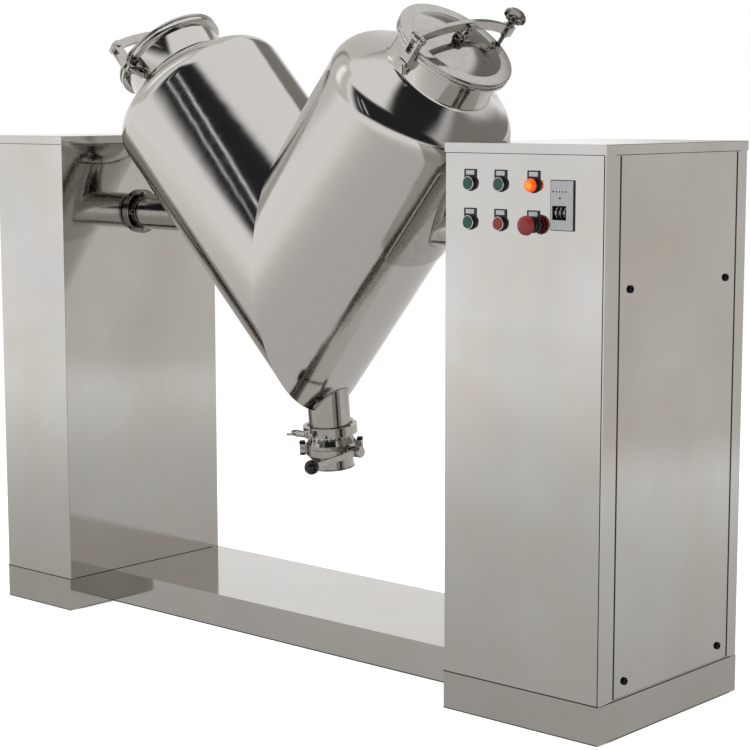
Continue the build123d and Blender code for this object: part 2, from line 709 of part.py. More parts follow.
def trunnion_tube():
    end = HALF_GAP - COLLAR_FROM_WALL - COLLAR_THICK
    body = along_x(tube(TRUNNION_RADIUS, SPIGOT_RADIUS, 320, end))
    return body - ARM_PLACE * rod(ARM_RADIUS + PAD_THICK, 150, 700)


def shaft(end_outline):
    """The turned shaft along Z from the tank's middle, from the spigot in the trunnion to its end."""
    collar = HALF_GAP - COLLAR_FROM_WALL - COLLAR_THICK
    wall = HALF_GAP - COLLAR_FROM_WALL
    groove = NECK_OF_SHAFT - 2
    return turned(
        (0, collar - SPIGOT_LENGTH), (SPIGOT_RADIUS, collar - SPIGOT_LENGTH), (SPIGOT_RADIUS, collar),
        (COLLAR_RADIUS - 1, collar),
        (COLLAR_RADIUS, collar + 1), (COLLAR_RADIUS, wall - 1), (COLLAR_RADIUS - 1, wall),
        (NECK_OF_SHAFT, wall), (NECK_OF_SHAFT, wall + 2), (groove, wall + 2.5), (groove, wall + 5),
        (NECK_OF_SHAFT, wall + 5.5), (NECK_OF_SHAFT, wall + 7.5), (groove, wall + 8), (groove, wall + 10.5),
        (NECK_OF_SHAFT, wall + 11), (NECK_OF_SHAFT, HALF_GAP + 14), (SEAT_RADIUS, HALF_GAP + 16), *end_outline
    )


def drive_shaft():
    """The drive shaft runs through the first bearing, the reducer and the rear bearing, with a key."""
    step = HALF_GAP + PLATE_GAP + PLATE + INSERT_END + 4
    end = HALF_GAP + REAR_PLATE_X - DRIVE_INNER + 4
    bar = along_x(
        shaft([(SEAT_RADIUS, step), (TAIL_RADIUS, step + 3), (TAIL_RADIUS, end - 2), (TAIL_RADIUS - 2, end), (0, end)])
    )
    key_x = HALF_GAP + MOTOR_X - DRIVE_INNER
    keyway = block(key_x - 40, key_x + 40, -7, 7, TAIL_RADIUS - 5, TAIL_RADIUS + 5)
    key = keyway & along_x(rod(TAIL_RADIUS, 0, 1000))
    return bar - keyway, key


def idle_shaft():
    end = HALF_GAP + PLATE_GAP + PLATE + INSERT_END + 10
    return along_x(shaft([(SEAT_RADIUS, end - 2), (SEAT_RADIUS - 2, end), (0, end)]))


# Lid fittings in the arm's frame: Y runs from the hinge to the clamp, and Z along the arm
HINGE_Y = -150.0
HINGE_Z = 733.0
HINGE_PIN = 6.0
EYE_WIDTH = 14.0
EYE_RADIUS = 11.0
STUD_Y = 160.0
STUD_RADIUS = 5.0
LUG_LOW = 655.0
LUG_HIGH = 663.0
SLOT_HALF = 7.5
SLOT_FROM = 141.0
BRACKET_BACK = -160.0
BOW_THICK = 10.0
BOW_HEIGHT = 22.0
BOW_MIDDLE = 756.0
YOKE_PIN = 5.0
YOKE_PIN_Z = BOW_MIDDLE - 4
BLOCK_LOW = 733.0
BLOCK_HIGH = 757.0
STUD_TOP = 766.0
EAR = 6.0


def lid_brackets():
    """The hinge bracket and the slotted clamp lug, both welded to the neck."""
    outline = Polyline(
        (-118, 637), (-118, 676), (-141, 680), (-141, HINGE_Z), (-143, HINGE_Z + 8), (HINGE_Y, HINGE_Z + 12),
        (-157, HINGE_Z + 8), (BRACKET_BACK, HINGE_Z), (BRACKET_BACK, 660), (-150, 650), close=True,
    )
    ear = extrude(Plane.YZ * make_face(outline), EAR)
    gap = EYE_WIDTH / 2 + FREE
    ears = Pos(gap, 0, 0) * ear + Pos(-gap - EAR, 0, 0) * ear
    face = block(-gap - EAR, gap + EAR, BRACKET_BACK, BRACKET_BACK + 4, 660, 694)
    foot = block(-gap, gap, BRACKET_BACK + 4, -118, 650, 658)
    strut = Pos(0, -130, 637) * Rot(35, 0, 0) * rod(5, -6, 22)
    hinge = ears + face + foot + strut
    hinge -= Pos(0, HINGE_Y, HINGE_Z) * along_x(rod(HINGE_PIN, -50, 50))
    lug = block(-22, 22, 110, 178, LUG_LOW, LUG_HIGH)
    lug = fillet(lug.edges().filter_by(Axis.Z).group_by(Axis.Y)[-1], 8)
    lug -= block(-SLOT_HALF, SLOT_HALF, SLOT_FROM + SLOT_HALF, 190, LUG_LOW, LUG_HIGH)
    lug -= Pos(0, SLOT_FROM + SLOT_HALF, 0) * rod(SLOT_HALF, LUG_LOW, LUG_HIGH)
    gussets = [block(x, x + 5, 110, 150, LUG_LOW - 20, LUG_LOW) for x in (-20, 15)]
    rear = lug + gussets
    inside = rod(NECK_RADIUS, 600, 760)
    return hinge - inside, rear - inside


def hinge_pin():
    reach = EYE_WIDTH / 2 + FREE + EAR
    pin = turned((0, -reach - 4), (9, -reach - 4), (9, -reach), (HINGE_PIN, -reach), (HINGE_PIN, reach),
                 (9, reach), (9, reach + 4), (0, reach + 4))
    return Pos(0, HINGE_Y, HINGE_Z) * along_x(pin)


def gasket():
    return tube(134, 124, NECK_FLANGE_TOP, LID_UNDERSIDE - FREE)


def lid():
    """A dished lid with a rolled rim, and the yoke that hangs it from the bow arm."""
    plate = turned(
        (0, 689), (101, 689), (109, LID_UNDERSIDE), (NECK_FLANGE_RADIUS, LID_UNDERSIDE),
        (NECK_FLANGE_RADIUS, LID_TOP - 2), (NECK_FLANGE_RADIUS - 2, LID_TOP), (108, LID_TOP), (99, 693), (0, 693),
    )
    ear = extrude(
        Plane.YZ * make_face(Polyline((-15, 693), (15, 693), (11, 757), (6, 763), (-6, 763), (-11, 757), close=True)),
        5,
    )
    half = BOW_THICK / 2
    yoke = [Pos(half, 0, 0) * ear, Pos(-half - 5, 0, 0) * ear]
    pin = Pos(0, 0, YOKE_PIN_Z) * along_x(rod(YOKE_PIN, -half - 9, half + 9))
    return plate + yoke + pin


def bow_arm():
    """A bowed bar on edge, with the hinge eye at one end and the clamp block at the other."""
    bow = ThreePointArc((HINGE_Y, HINGE_Z), (0, BOW_MIDDLE), (STUD_Y - 12, 746))
    bar = extrude(Plane.YZ * SlotArc(bow, BOW_HEIGHT), BOW_THICK / 2, both=True)
    eye = Pos(0, HINGE_Y, HINGE_Z) * along_x(rod(EYE_RADIUS, -EYE_WIDTH / 2, EYE_WIDTH / 2))
    end = block(-12, 12, STUD_Y - 14, STUD_Y + 12, BLOCK_LOW, BLOCK_HIGH)
    end = fillet(end.edges().filter_by(Axis.Z), 5)
    arm = bar + eye + end
    arm -= Pos(0, HINGE_Y, HINGE_Z) * along_x(rod(HINGE_PIN + RUNNING, -50, 50))
    arm -= Pos(0, STUD_Y, 0) * rod(STUD_RADIUS + RUNNING, 700, 800)
    return arm - Pos(0, 0, YOKE_PIN_Z) * along_x(rod(YOKE_PIN, -20, 20))


def lid_knob():
    """The clamp bolt with its T-shaped foot, and the lobed knob on top."""
    foot = block(-5.5, 5.5, STUD_Y - 14, STUD_Y + 14, LUG_LOW - 10, LUG_LOW - 1.5)
    stud = Pos(0, STUD_Y, 0) * turned(
        (0, LUG_LOW - 10), (STUD_RADIUS, LUG_LOW - 10), (STUD_RADIUS, BLOCK_LOW - 5), (8, BLOCK_LOW - 5),
        (8, BLOCK_LOW - FREE), (STUD_RADIUS, BLOCK_LOW - FREE), (STUD_RADIUS, STUD_TOP), (0, STUD_TOP),
    )
    knob = turned(
        (STUD_RADIUS, BLOCK_HIGH + FREE), (9, BLOCK_HIGH + FREE), (9, 764), (24, STUD_TOP), (26, 769),
        (26, 777), (22, 783), (14, 786), (0, 787), (0, STUD_TOP), (STUD_RADIUS, STUD_TOP),
    )
    for spot in PolarLocations(29, 6):
        knob -= spot * rod(8, 750, 800)
    return foot + stud, Pos(0, STUD_Y, 0) * knob


for name, side in SIDES.items():
    save(f"{name}_barrel", in_tank(barrel(), side))
    save(f"{name}_crown", on_side(crown(), side))
    save(f"{name}_neck", on_side(neck(), side))
    save(f"{name}_trunnion", on_side(saddle_pad(), side), in_tank(trunnion_tube(), side))
    save(f"{name}_lid_brackets", *[on_side(piece, side) for piece in (*lid_brackets(), hinge_pin())])
    save(f"{name}_lid", on_side(lid(), side))
    save(f"{name}_bow_arm", on_side(bow_arm(), side))
    save(f"{name}_lid_knob", *[on_side(piece, side) for piece in lid_knob()])
save("drive_shaft", *[TANK_PLACE * piece for piece in drive_shaft()])
save("idle_shaft", in_tank(idle_shaft(), -1))

# Outlet: a short tube under the V with a clamp ferrule, and a butterfly valve clamped to it
GASKET_HALF = 1.5
SEAT_INSIDE = 46.0
SEAT_THICK = 2.0
DISC_RADIUS = SEAT_INSIDE - FREE
STEM = 6.0
HUB_X = 87.0
LEVER_END = -148.0
BALL_Y = -163.0
BALL_RADIUS = 17.5
VALVE_RADIUS = 62.0
BODY_SPLIT = -551.0
VALVE_SHOULDER = -541.0
VALVE_EAR_LOW = -562.0
VALVE_BOLT_RADIUS = 70.0
VALVE_BOLT_ANGLES = (43.0, 223.0)
CLAMP_BOLT_Y = -74.0
CLAMP_BOLT = 4.0
CLAMP_PIN_Y = 71.5
CLAMP_PIN = 3.0
CLAMP_SPLIT = 0.8
LEVER_STUD = 3.5
LEVER_OFFSET = 1.0


def outlet_tube():
    face = CLAMP_HEIGHT + GASKET_HALF
    body = turned(
        (OUTLET_INSIDE, face), (FERRULE_RADIUS, face), (FERRULE_RADIUS, face + 2.85), (53, face + 6.5),
        (OUTLET_RADIUS, face + 6.5), (OUTLET_RADIUS, -390), (OUTLET_INSIDE, -390),
    )
    right = arm_bar(ARM_RADIUS)
    return body - right - mirror(right, about=Plane.YZ)


def outlet_gasket():
    return tube(58, OUTLET_INSIDE, CLAMP_HEIGHT - GASKET_HALF, CLAMP_HEIGHT + GASKET_HALF)


def clamp_halves():
    """Two half rings with a grooved inside, a lug on each at the front and a hinge at the rear."""
    ring = turned(
        (66, -11), (66, 11), (55.5, 11), (55.5, 7), (60, 4.7), (60, -4.7), (55.5, -7), (55.5, -11)
    )
    half = ring & block(CLAMP_SPLIT, 100, -100, 100, -20, 20)
    half += block(CLAMP_SPLIT, 9, -80, -62, -9, 9) - rod(62, -20, 20)
    half += block(CLAMP_SPLIT, 7, 62, 77, -9, 9) - rod(62, -20, 20)
    other = mirror(half, about=Plane.YZ)
    bolt_way = Pos(0, CLAMP_BOLT_Y, 0) * along_x(rod(CLAMP_BOLT + 0.5, -30, 30))
    pin_way = Pos(0, CLAMP_PIN_Y, 0) * rod(CLAMP_PIN, -20, 20)
    return [Pos(0, 0, CLAMP_HEIGHT) * (piece - bolt_way - pin_way) for piece in (half, other)]


def clamp_bolt():
    """The clamp's bolt, with its head on the right half, and the hinge pin."""
    shank = CLAMP_BOLT - RUNNING
    bolt = turned((0, -58), (shank, -58), (shank, 9), (7, 9), (7, 14), (0, 14))
    pin = turned((0, -12), (CLAMP_PIN, -12), (CLAMP_PIN, 9.2), (4.5, 9.2), (4.5, 12), (0, 12))
    return Pos(0, CLAMP_BOLT_Y, CLAMP_HEIGHT) * along_x(bolt), Pos(0, CLAMP_PIN_Y, CLAMP_HEIGHT) * pin


def wing_nut():
    """A long-bodied wing nut that turns about the bolt, along X."""
    hub = along_x(turned((CLAMP_BOLT, 0), (8, 0), (8, 24), (9, 28), (7, 44), (CLAMP_BOLT, 44)))
    wing = extrude(SlotArc(SagittaArc((32, 6), (42, 19), 2), 9), 2.2, both=True)
    pair = wing + Rot(180, 0, 0) * wing - along_x(rod(5, -5, 60))
    return Pos(-9.3, CLAMP_BOLT_Y, CLAMP_HEIGHT) * Rot(0, 180, 0) * (hub + pair)


def valve_body():
    """An upper half with its ferrule, and a lower half that holds the stem and the outlet mouth."""
    face = CLAMP_HEIGHT - GASKET_HALF
    upper = turned(
        (OUTLET_INSIDE, face), (FERRULE_RADIUS, face), (FERRULE_RADIUS, face - 2.85), (53, face - 6.5),
        (52, face - 6.5), (52, -524), (61, VALVE_SHOULDER), (VALVE_RADIUS, VALVE_SHOULDER),
        (VALVE_RADIUS, BODY_SPLIT + SEAT_THICK), (OUTLET_INSIDE, BODY_SPLIT + SEAT_THICK),
    )
    lower = turned(
        (SEAT_INSIDE + 4, BODY_SPLIT), (VALVE_RADIUS, BODY_SPLIT), (VALVE_RADIUS, -567), (53, -580),
        (51.5, -580), (51.5, VALVE_MOUTH + 3.5), (54, VALVE_MOUTH + 2.5), (54, VALVE_MOUTH),
        (OUTLET_INSIDE, VALVE_MOUTH), (OUTLET_INSIDE, -568), (OUTLET_INSIDE + 1.2, -564), (SEAT_INSIDE + 4, -564),
    )
    boss = Pos(0, 0, VALVE_STEM_HEIGHT) * along_x(rod(11, 52, 73))
    for angle in VALVE_BOLT_ANGLES:
        ear = Rot(0, 0, angle) * Pos(VALVE_BOLT_RADIUS - 4, 0, 0)
        upper += ear * rod(11, BODY_SPLIT + SEAT_THICK, VALVE_SHOULDER) - rod(60, -600, -500)
        lower += ear * rod(11, VALVE_EAR_LOW, BODY_SPLIT) - rod(60, -600, -500)
    stem_way = Pos(0, 0, VALVE_STEM_HEIGHT) * along_x(rod(STEM + RUNNING, -58, 120))
    bolt_ways = [
        Rot(0, 0, angle) * Pos(VALVE_BOLT_RADIUS, 0, 0) * rod(4.2, -600, -500) for angle in VALVE_BOLT_ANGLES
    ]
    boss -= rod(55, -600, -500)
    boss -= rod(VALVE_RADIUS + 0.1, BODY_SPLIT, -500)
    lower = lower + boss - stem_way
    return upper - bolt_ways, lower - bolt_ways


def valve_seat():
    """The elastomer ring between the halves, with a lip that the disc closes on."""
    ring = turned(
        (SEAT_INSIDE, -563.5), (SEAT_INSIDE + 4, -563.5), (SEAT_INSIDE + 4, BODY_SPLIT),
        (VALVE_RADIUS - 3, BODY_SPLIT), (VALVE_RADIUS - 3, BODY_SPLIT + SEAT_THICK),
        (SEAT_INSIDE, BODY_SPLIT + SEAT_THICK),
    )
    return ring - Pos(0, 0, VALVE_STEM_HEIGHT) * along_x(rod(STEM + RUNNING, -80, 80))


def valve_bolts():
    bolt = Pos(VALVE_BOLT_RADIUS, 0, VALVE_SHOULDER) * hex_bolt(13, 7, 4.0, 27)
    nut = Pos(VALVE_BOLT_RADIUS, 0, VALVE_EAR_LOW - 6.5) * hex_bolt(13, 6.5, 4.0, 0.5)
    return [Rot(0, 0, angle) * (bolt + nut) for angle in VALVE_BOLT_ANGLES]


def valve_disc():
    """The disc with its rounded edge, its cross hub and the stem through it."""
    disc = Sphere(DISC_RADIUS) & block(-60, 60, -60, 60, -3, 3)
    hub = along_x(rod(9, -43, 43)) & Sphere(DISC_RADIUS)
    stem = along_x(rod(STEM, -57, HUB_X + 8))
    return Pos(0, 0, VALVE_STEM_HEIGHT) * (disc + hub + stem)


def valve_lever():
    """A round hub on the stem with a flat lever that ends in the ball's stud."""
    hub = along_x(turned((STEM, 73.4), (13.5, 73.4), (13.5, 96), (12, 98), (0, 98), (0, 95), (STEM, 95)))
    bar = Pos(0, 0, LEVER_OFFSET) * block(HUB_X - 3, HUB_X + 3, LEVER_END, -10, -6.5, 6.5)
    stud = Pos(HUB_X, 0, LEVER_OFFSET) * along_y(rod(LEVER_STUD, BALL_Y, LEVER_END + 2))
    return Pos(0, 0, VALVE_STEM_HEIGHT) * (hub + bar + stud)


def lever_ball():
    ball = Pos(HUB_X, BALL_Y, LEVER_OFFSET) * Sphere(BALL_RADIUS)
    stud_way = Pos(HUB_X, 0, LEVER_OFFSET) * along_y(rod(LEVER_STUD, BALL_Y, 0))
    seat = block(HUB_X - 20, HUB_X + 20, LEVER_END, 0, -30, 30)
    return Pos(0, 0, VALVE_STEM_HEIGHT) * (ball - stud_way - seat)


lid_gaskets = [on_side(gasket(), side) for side in SIDES.values()]
save("outlet_tube", TANK_PLACE * outlet_tube())
save("outlet_clamp", *[TANK_PLACE * piece for piece in (*clamp_halves(), *clamp_bolt())])
save("wing_nut", TANK_PLACE * wing_nut())
save("valve_body", *[TANK_PLACE * piece for piece in valve_body()])
save("seals", *[TANK_PLACE * piece for piece in (valve_seat(), outlet_gasket())], *lid_gaskets)
save("valve_bolts", *[TANK_PLACE * piece for piece in valve_bolts()])
save("valve_disc", TANK_PLACE * valve_disc())
save("valve_lever", TANK_PLACE * valve_lever())
save("lever_ball", TANK_PLACE * lever_ball())
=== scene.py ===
import math

import bmesh
import bpy
from mathutils import Matrix, Vector


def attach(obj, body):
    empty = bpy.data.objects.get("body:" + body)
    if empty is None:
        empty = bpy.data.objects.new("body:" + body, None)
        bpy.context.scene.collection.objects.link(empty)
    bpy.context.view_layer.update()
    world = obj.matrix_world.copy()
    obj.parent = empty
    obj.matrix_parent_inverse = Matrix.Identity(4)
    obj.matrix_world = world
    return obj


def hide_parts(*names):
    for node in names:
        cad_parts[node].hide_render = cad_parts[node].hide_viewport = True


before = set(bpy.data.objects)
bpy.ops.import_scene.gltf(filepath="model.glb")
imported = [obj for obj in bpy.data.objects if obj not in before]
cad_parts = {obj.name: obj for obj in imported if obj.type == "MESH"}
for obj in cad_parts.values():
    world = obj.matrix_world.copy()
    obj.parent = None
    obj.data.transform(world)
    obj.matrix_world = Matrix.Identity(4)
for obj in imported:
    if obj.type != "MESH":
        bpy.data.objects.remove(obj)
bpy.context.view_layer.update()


# Camera: stands at the front right corner, a little above the cabinets, with a short telephoto lens.
# Its place comes from the edges of the cabinets and the beam in the photograph.
def stand(name, data):
    """An object that stands in the scene."""
    made = bpy.data.objects.new(name, data)
    bpy.context.scene.collection.objects.link(made)
    return made


def turn(degrees, axis):
    """A turn about an axis."""
    return Matrix.Rotation(math.radians(degrees), 4, axis)


CAMERA_PLACE = (3.1496, -3.4162, 1.281)
CAMERA_YAW = 41.62
CAMERA_PITCH = 7.84
CAMERA_ROLL = -0.083
camera_data = bpy.data.cameras.new("camera")
camera_data.lens = 95.0
camera_data.sensor_width = 36.0
camera = stand("camera", camera_data)
sight = turn(CAMERA_YAW, "Z") @ turn(90 - CAMERA_PITCH, "X") @ turn(CAMERA_ROLL, "Z")
camera.matrix_world = Matrix.Translation(CAMERA_PLACE) @ sight
bpy.context.scene.camera = camera
bpy.context.scene.view_settings.view_transform = "Standard"


# Studio: a plain white floor and backdrop, which show to the camera and in reflections, and three
# softboxes that light the machine evenly.
def linear(hex_colour):
    """An sRGB hex value as a linear colour with alpha."""
    channels = [int(hex_colour[i:i + 2], 16) / 255 for i in (0, 2, 4)]
    return (*[c / 12.92 if c <= 0.04045 else ((c + 0.055) / 1.055) ** 2.4 for c in channels], 1.0)


def add(tree, kind, settings=None, **inputs):
    """Adds a node with its settings. An input is a value, or a node or an output to link."""
    made = tree.nodes.new(kind)
    for name, value in (settings or {}).items():
        setattr(made, name, value)
    for name, value in inputs.items():
        socket = made.inputs[int(name[1:])] if name[1:].isdigit() else made.inputs[name.replace("_", " ")]
        if isinstance(value, bpy.types.Node):
            value = value.outputs[0]
        if isinstance(value, bpy.types.NodeSocket):
            tree.links.new(value, socket)
        else:
            socket.default_value = value
    return made


def blank_material(name):
    """A new material and its empty node tree."""
    material = bpy.data.materials.new(name)
    material.use_nodes = True
    material.node_tree.nodes.clear()
    return material, material.node_tree


def shows_backdrop(tree):
    """1 for the rays that see the white backdrop, 0 for those that light the machine."""
    path = add(tree, "ShaderNodeLightPath")
    seen = add(
        tree, "ShaderNodeMath", {"operation": "MAXIMUM"},
        i0=path.outputs["Is Camera Ray"], i1=path.outputs["Is Glossy Ray"],
    )
    clear = path.outputs["Is Transmission Ray"]
    return add(tree, "ShaderNodeMath", {"operation": "MAXIMUM"}, i0=seen, i1=clear)


FLOOR_HALF = 9.0
FLOOR_LIFT = 0.62
floor_corners = [(x * FLOOR_HALF, y * FLOOR_HALF, 0) for x, y in ((-1, -1), (1, -1), (1, 1), (-1, 1))]
floor_mesh = bpy.data.meshes.new("floor")
floor_mesh.from_pydata(floor_corners, [], [(0, 1, 2, 3)])
floor_paint, tree = blank_material("white_studio_floor")
diffuse = add(tree, "ShaderNodeBsdfDiffuse", Color=linear("d8d8d8"))
glow = add(tree, "ShaderNodeEmission", Color=linear("ffffff"), Strength=FLOOR_LIFT)
lifted = add(tree, "ShaderNodeAddShader", i0=diffuse, i1=glow)
mixed = add(tree, "ShaderNodeMixShader", i0=shows_backdrop(tree), i1=diffuse, i2=lifted)
add(tree, "ShaderNodeOutputMaterial", Surface=mixed)
floor_mesh.materials.append(floor_paint)
stand("floor", floor_mesh)

WORLD_LEVEL = 0.55
world = bpy.data.worlds.new("white_studio")
world.use_nodes = True
bpy.context.scene.world = world
tree = world.node_tree
tree.nodes.clear()
level = add(tree, "ShaderNodeMapRange", Value=shows_backdrop(tree), To_Min=WORLD_LEVEL)
background = add(tree, "ShaderNodeBackground", Color=linear("ffffff"), Strength=level)
add(tree, "ShaderNodeOutputWorld", Surface=background)


def softbox(name, place, target, width, height, watts):
    """An area lamp that faces its target."""
    data = bpy.data.lights.new(name, "AREA")
    data.shape = "RECTANGLE"
    data.size = width
    data.size_y = height
    data.energy = watts
    box = stand(name, data)
    box.location = place
    box.rotation_euler = (Vector(target) - Vector(place)).to_track_quat("-Z", "Y").to_euler()
    box.visible_glossy = False


softbox("key_softbox", (-1.6, -4.6, 3.2), (0, 0, 0.8), 1.1, 2.6, 120)
softbox("fill_softbox", (4.6, -0.6, 2.6), (0, 0, 0.8), 1.0, 2.4, 70)
softbox("top_softbox", (-0.4, -0.4, 4.2), (0, 0, 0.6), 2.6, 1.6, 70)


# Cards: soft-edged grey cloths that hang round the room, outside the picture, and one on the floor.
# Only reflections see them. The dark one behind the camera gives the polished tank its dark bands.
CARD_CENTRE = Vector((-0.075, 0, 1.0))
CARD_RADIUS = 7.5
CARD_STEPS = 14


def card_mesh(name, points, across):
    """A grid of quads over rows of points, with UV from 0 to 1."""
    mesh = bpy.data.meshes.new(name)
    rows = len(points) // across
    quads = [
        (r * across + c, r * across + c + 1, (r + 1) * across + c + 1, (r + 1) * across + c)
        for r in range(rows - 1) for c in range(across - 1)
    ]
    mesh.from_pydata(points, [], quads)
    layer = mesh.uv_layers.new(name="UVMap")
    for loop in mesh.loops:
        row, column = divmod(loop.vertex_index, across)
        layer.data[loop.index].uv = (column / (across - 1), row / (rows - 1))
    return mesh


def hang(name, mesh, cloth):
    """Puts a card in the studio, where only reflections see it."""
    mesh.materials.append(cloth)
    made = stand(name, mesh)
    made.visible_camera = False
    made.visible_diffuse = False
    made.visible_shadow = False


def card(name, azimuths, elevations, shade, soft, strength=1.0, radius=CARD_RADIUS):
    """A card bent round the tank. Azimuth 0 is the front and 90 the drive cabinet's side."""
    points = []
    for row in range(CARD_STEPS + 1):
        up = math.radians(elevations[0] + (elevations[1] - elevations[0]) * row / CARD_STEPS)
        for column in range(CARD_STEPS + 1):
            way = math.radians(azimuths[0] + (azimuths[1] - azimuths[0]) * column / CARD_STEPS)
            outward = Vector((math.cos(up) * math.sin(way), -math.cos(up) * math.cos(way), math.sin(up)))
            points.append(CARD_CENTRE + radius * outward)
    cloth, tree = blank_material(name)
    place = add(tree, "ShaderNodeSeparateXYZ", Vector=add(tree, "ShaderNodeTexCoord").outputs["UV"])
    cover = None
    for axis in ("X", "Y"):
        mirrored = add(tree, "ShaderNodeMath", {"operation": "PINGPONG"}, i0=place.outputs[axis], i1=0.5)
        edge = add(
            tree, "ShaderNodeMapRange", {"interpolation_type": "SMOOTHSTEP"}, Value=mirrored, From_Max=soft,
        )
        if cover:
            edge = add(tree, "ShaderNodeMath", {"operation": "MULTIPLY"}, i0=cover, i1=edge)
        cover = edge
    glow = add(tree, "ShaderNodeEmission", Color=linear(shade), Strength=strength)
    clear = add(tree, "ShaderNodeBsdfTransparent")
    mixed = add(tree, "ShaderNodeMixShader", i0=cover, i1=clear, i2=glow)
    add(tree, "ShaderNodeOutputMaterial", Surface=mixed)
    hang(name, card_mesh(name, points, CARD_STEPS + 1), cloth)


card("dark_room_card", (-30, 104), (4, 60), "2a2a2d", soft=0.14)
card("right_wall_card", (92, 216), (9, 46), "8a8783", soft=0.12)
card("right_low_card", (98, 206), (-17, 12), "d2cfca", soft=0.1, radius=3.4)
card("left_wall_card", (-150, -30), (8, 76), "dedcd9", soft=0.1)
card("left_softbox_card", (-78, -52), (20, 72), "ffffff", soft=0.3, strength=1.3, radius=7.2)
card("left_gap_card", (-112, -98), (6, 78), "a9a8a6", soft=0.3, radius=7.2)
card("window_gap_card", (1, 4), (12, 46), "ffffff", soft=0.3, radius=7.2)
card("far_window_card", (-9, -6), (8, 50), "e8e8ea", soft=0.4, radius=7.2)

# The floor card is darker beside the machine, where the room's light reaches least.
FLOOR_CARD_HALF = 6.0
FLOOR_CARD_LIFT = 0.0015
NEAR_MACHINE = 0.6
NEAR_SHADE, FAR_SHADE = 0.6, 0.96
floor_cloth, tree = blank_material("floor_card")
here = add(tree, "ShaderNodeTexCoord")
reach = add(tree, "ShaderNodeVectorMath", {"operation": "LENGTH"}, i0=here.outputs["Object"])
fade = add(
    tree, "ShaderNodeMapRange", {"interpolation_type": "SMOOTHSTEP"}, Value=reach.outputs["Value"],
    From_Min=NEAR_MACHINE, From_Max=FLOOR_CARD_HALF, To_Min=NEAR_SHADE, To_Max=FAR_SHADE,
)
glow = add(tree, "ShaderNodeEmission", Color=linear("fffefb"), Strength=fade)
add(tree, "ShaderNodeOutputMaterial", Surface=glow)
corners = [(x * FLOOR_CARD_HALF, y * FLOOR_CARD_HALF, FLOOR_CARD_LIFT) for y in (-1, 1) for x in (-1, 1)]
hang("floor_card", card_mesh("floor_card", corners, 2), floor_cloth)


# Folded sheet: cabinets, tops, plinths, beam cladding and the access door. Cold-rolled stainless with
# a half-mirror finish: the eye sees soft reflections, faint waves, and warm and cool blotches, and a
# painted shade makes it darker low down.
# The sizes of the pattern are in metres. The rolling streaks are coarser than the real ones.
BLOTCH_SIZE = 0.3125
STAIN_SIZE = 0.1818
WAVE_SIZE = 0.25
STREAK_SIZE = (0.01667, 0.01667, 0.5)
PAINTED_SHADE_HEIGHT = 0.5


def place_vector(tree, scale=(1, 1, 1)):
    """Object coordinates, stretched."""
    where = add(tree, "ShaderNodeTexCoord")
    return add(tree, "ShaderNodeMapping", Vector=where.outputs["Object"], Scale=scale)


def sheet_finish(name, dark, light, low, stain_tint):
    """Half-mirror sheet. The low colour, a painted shade, fades in below half a metre."""
    made, tree = blank_material(name)
    blotch = add(
        tree, "ShaderNodeTexNoise", Vector=place_vector(tree, (1, 1, 0.7)), Scale=1 / BLOTCH_SIZE, Detail=3.0,
    )
    spread = add(tree, "ShaderNodeMapRange", Value=blotch, From_Min=0.3, From_Max=0.7)
    stain = add(tree, "ShaderNodeTexNoise", Vector=place_vector(tree), Scale=1 / STAIN_SIZE, Detail=2.0)
    warm = add(tree, "ShaderNodeMapRange", Value=stain, From_Min=0.48, From_Max=0.72, To_Max=0.55)
    height = add(tree, "ShaderNodeSeparateXYZ", Vector=place_vector(tree)).outputs["Z"]
    # Painted shade: below half a metre the colour turns towards the darker low colour.
    fade = add(tree, "ShaderNodeMapRange", Value=height, From_Max=PAINTED_SHADE_HEIGHT, To_Min=0.75, To_Max=0.0)
    tint = linear(dark)
    for share, colour in ((spread, light), (warm, stain_tint), (fade, low)):
        tint = add(
            tree, "ShaderNodeMix", {"data_type": "RGBA"}, i0=share, i6=tint, i7=linear(colour),
        ).outputs[2]
    streaks = place_vector(tree, [1 / size for size in STREAK_SIZE])
    streak = add(tree, "ShaderNodeTexNoise", Vector=streaks, Scale=1.0, Detail=2.0)
    rough = add(tree, "ShaderNodeMapRange", Value=streak, To_Min=0.04, To_Max=0.13)
    wave = add(tree, "ShaderNodeTexNoise", Vector=place_vector(tree), Scale=1 / WAVE_SIZE, Detail=1.0)
    bump = add(tree, "ShaderNodeBump", Strength=0.3, Distance=0.003, Height=wave)
    skin = add(
        tree, "ShaderNodeBsdfPrincipled", Base_Color=tint, Metallic=1.0, Roughness=rough, Normal=bump,
    )
    add(tree, "ShaderNodeOutputMaterial", Surface=skin)
    return made


def dress(material, *names):
    """Gives CAD nodes a material."""
    for name in names:
        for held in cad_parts[name].material_slots:
            held.material = material


# The plinths are the same sheet with browner stains from shoes and mops, and a darker colour all over, which
# is painted shade.
sheet_steel_shaded_low = sheet_finish("half_mirror_stainless_sheet_shaded_low", "c6c4c1", "d4d3d1", "b8b5b0", "cdc4b9")
plinth_steel_shaded = sheet_finish("kicked_stainless_plinth_shaded", "b3b1ad", "c6c4c1", "b3b0ab", "a8998a")
dress(
    sheet_steel_shaded_low, "left_cabinet", "right_cabinet", "left_cabinet_top", "right_cabinet_top", "beam_cladding",
    "access_door",
)
dress(plinth_steel_shaded, "left_plinth", "right_plinth")

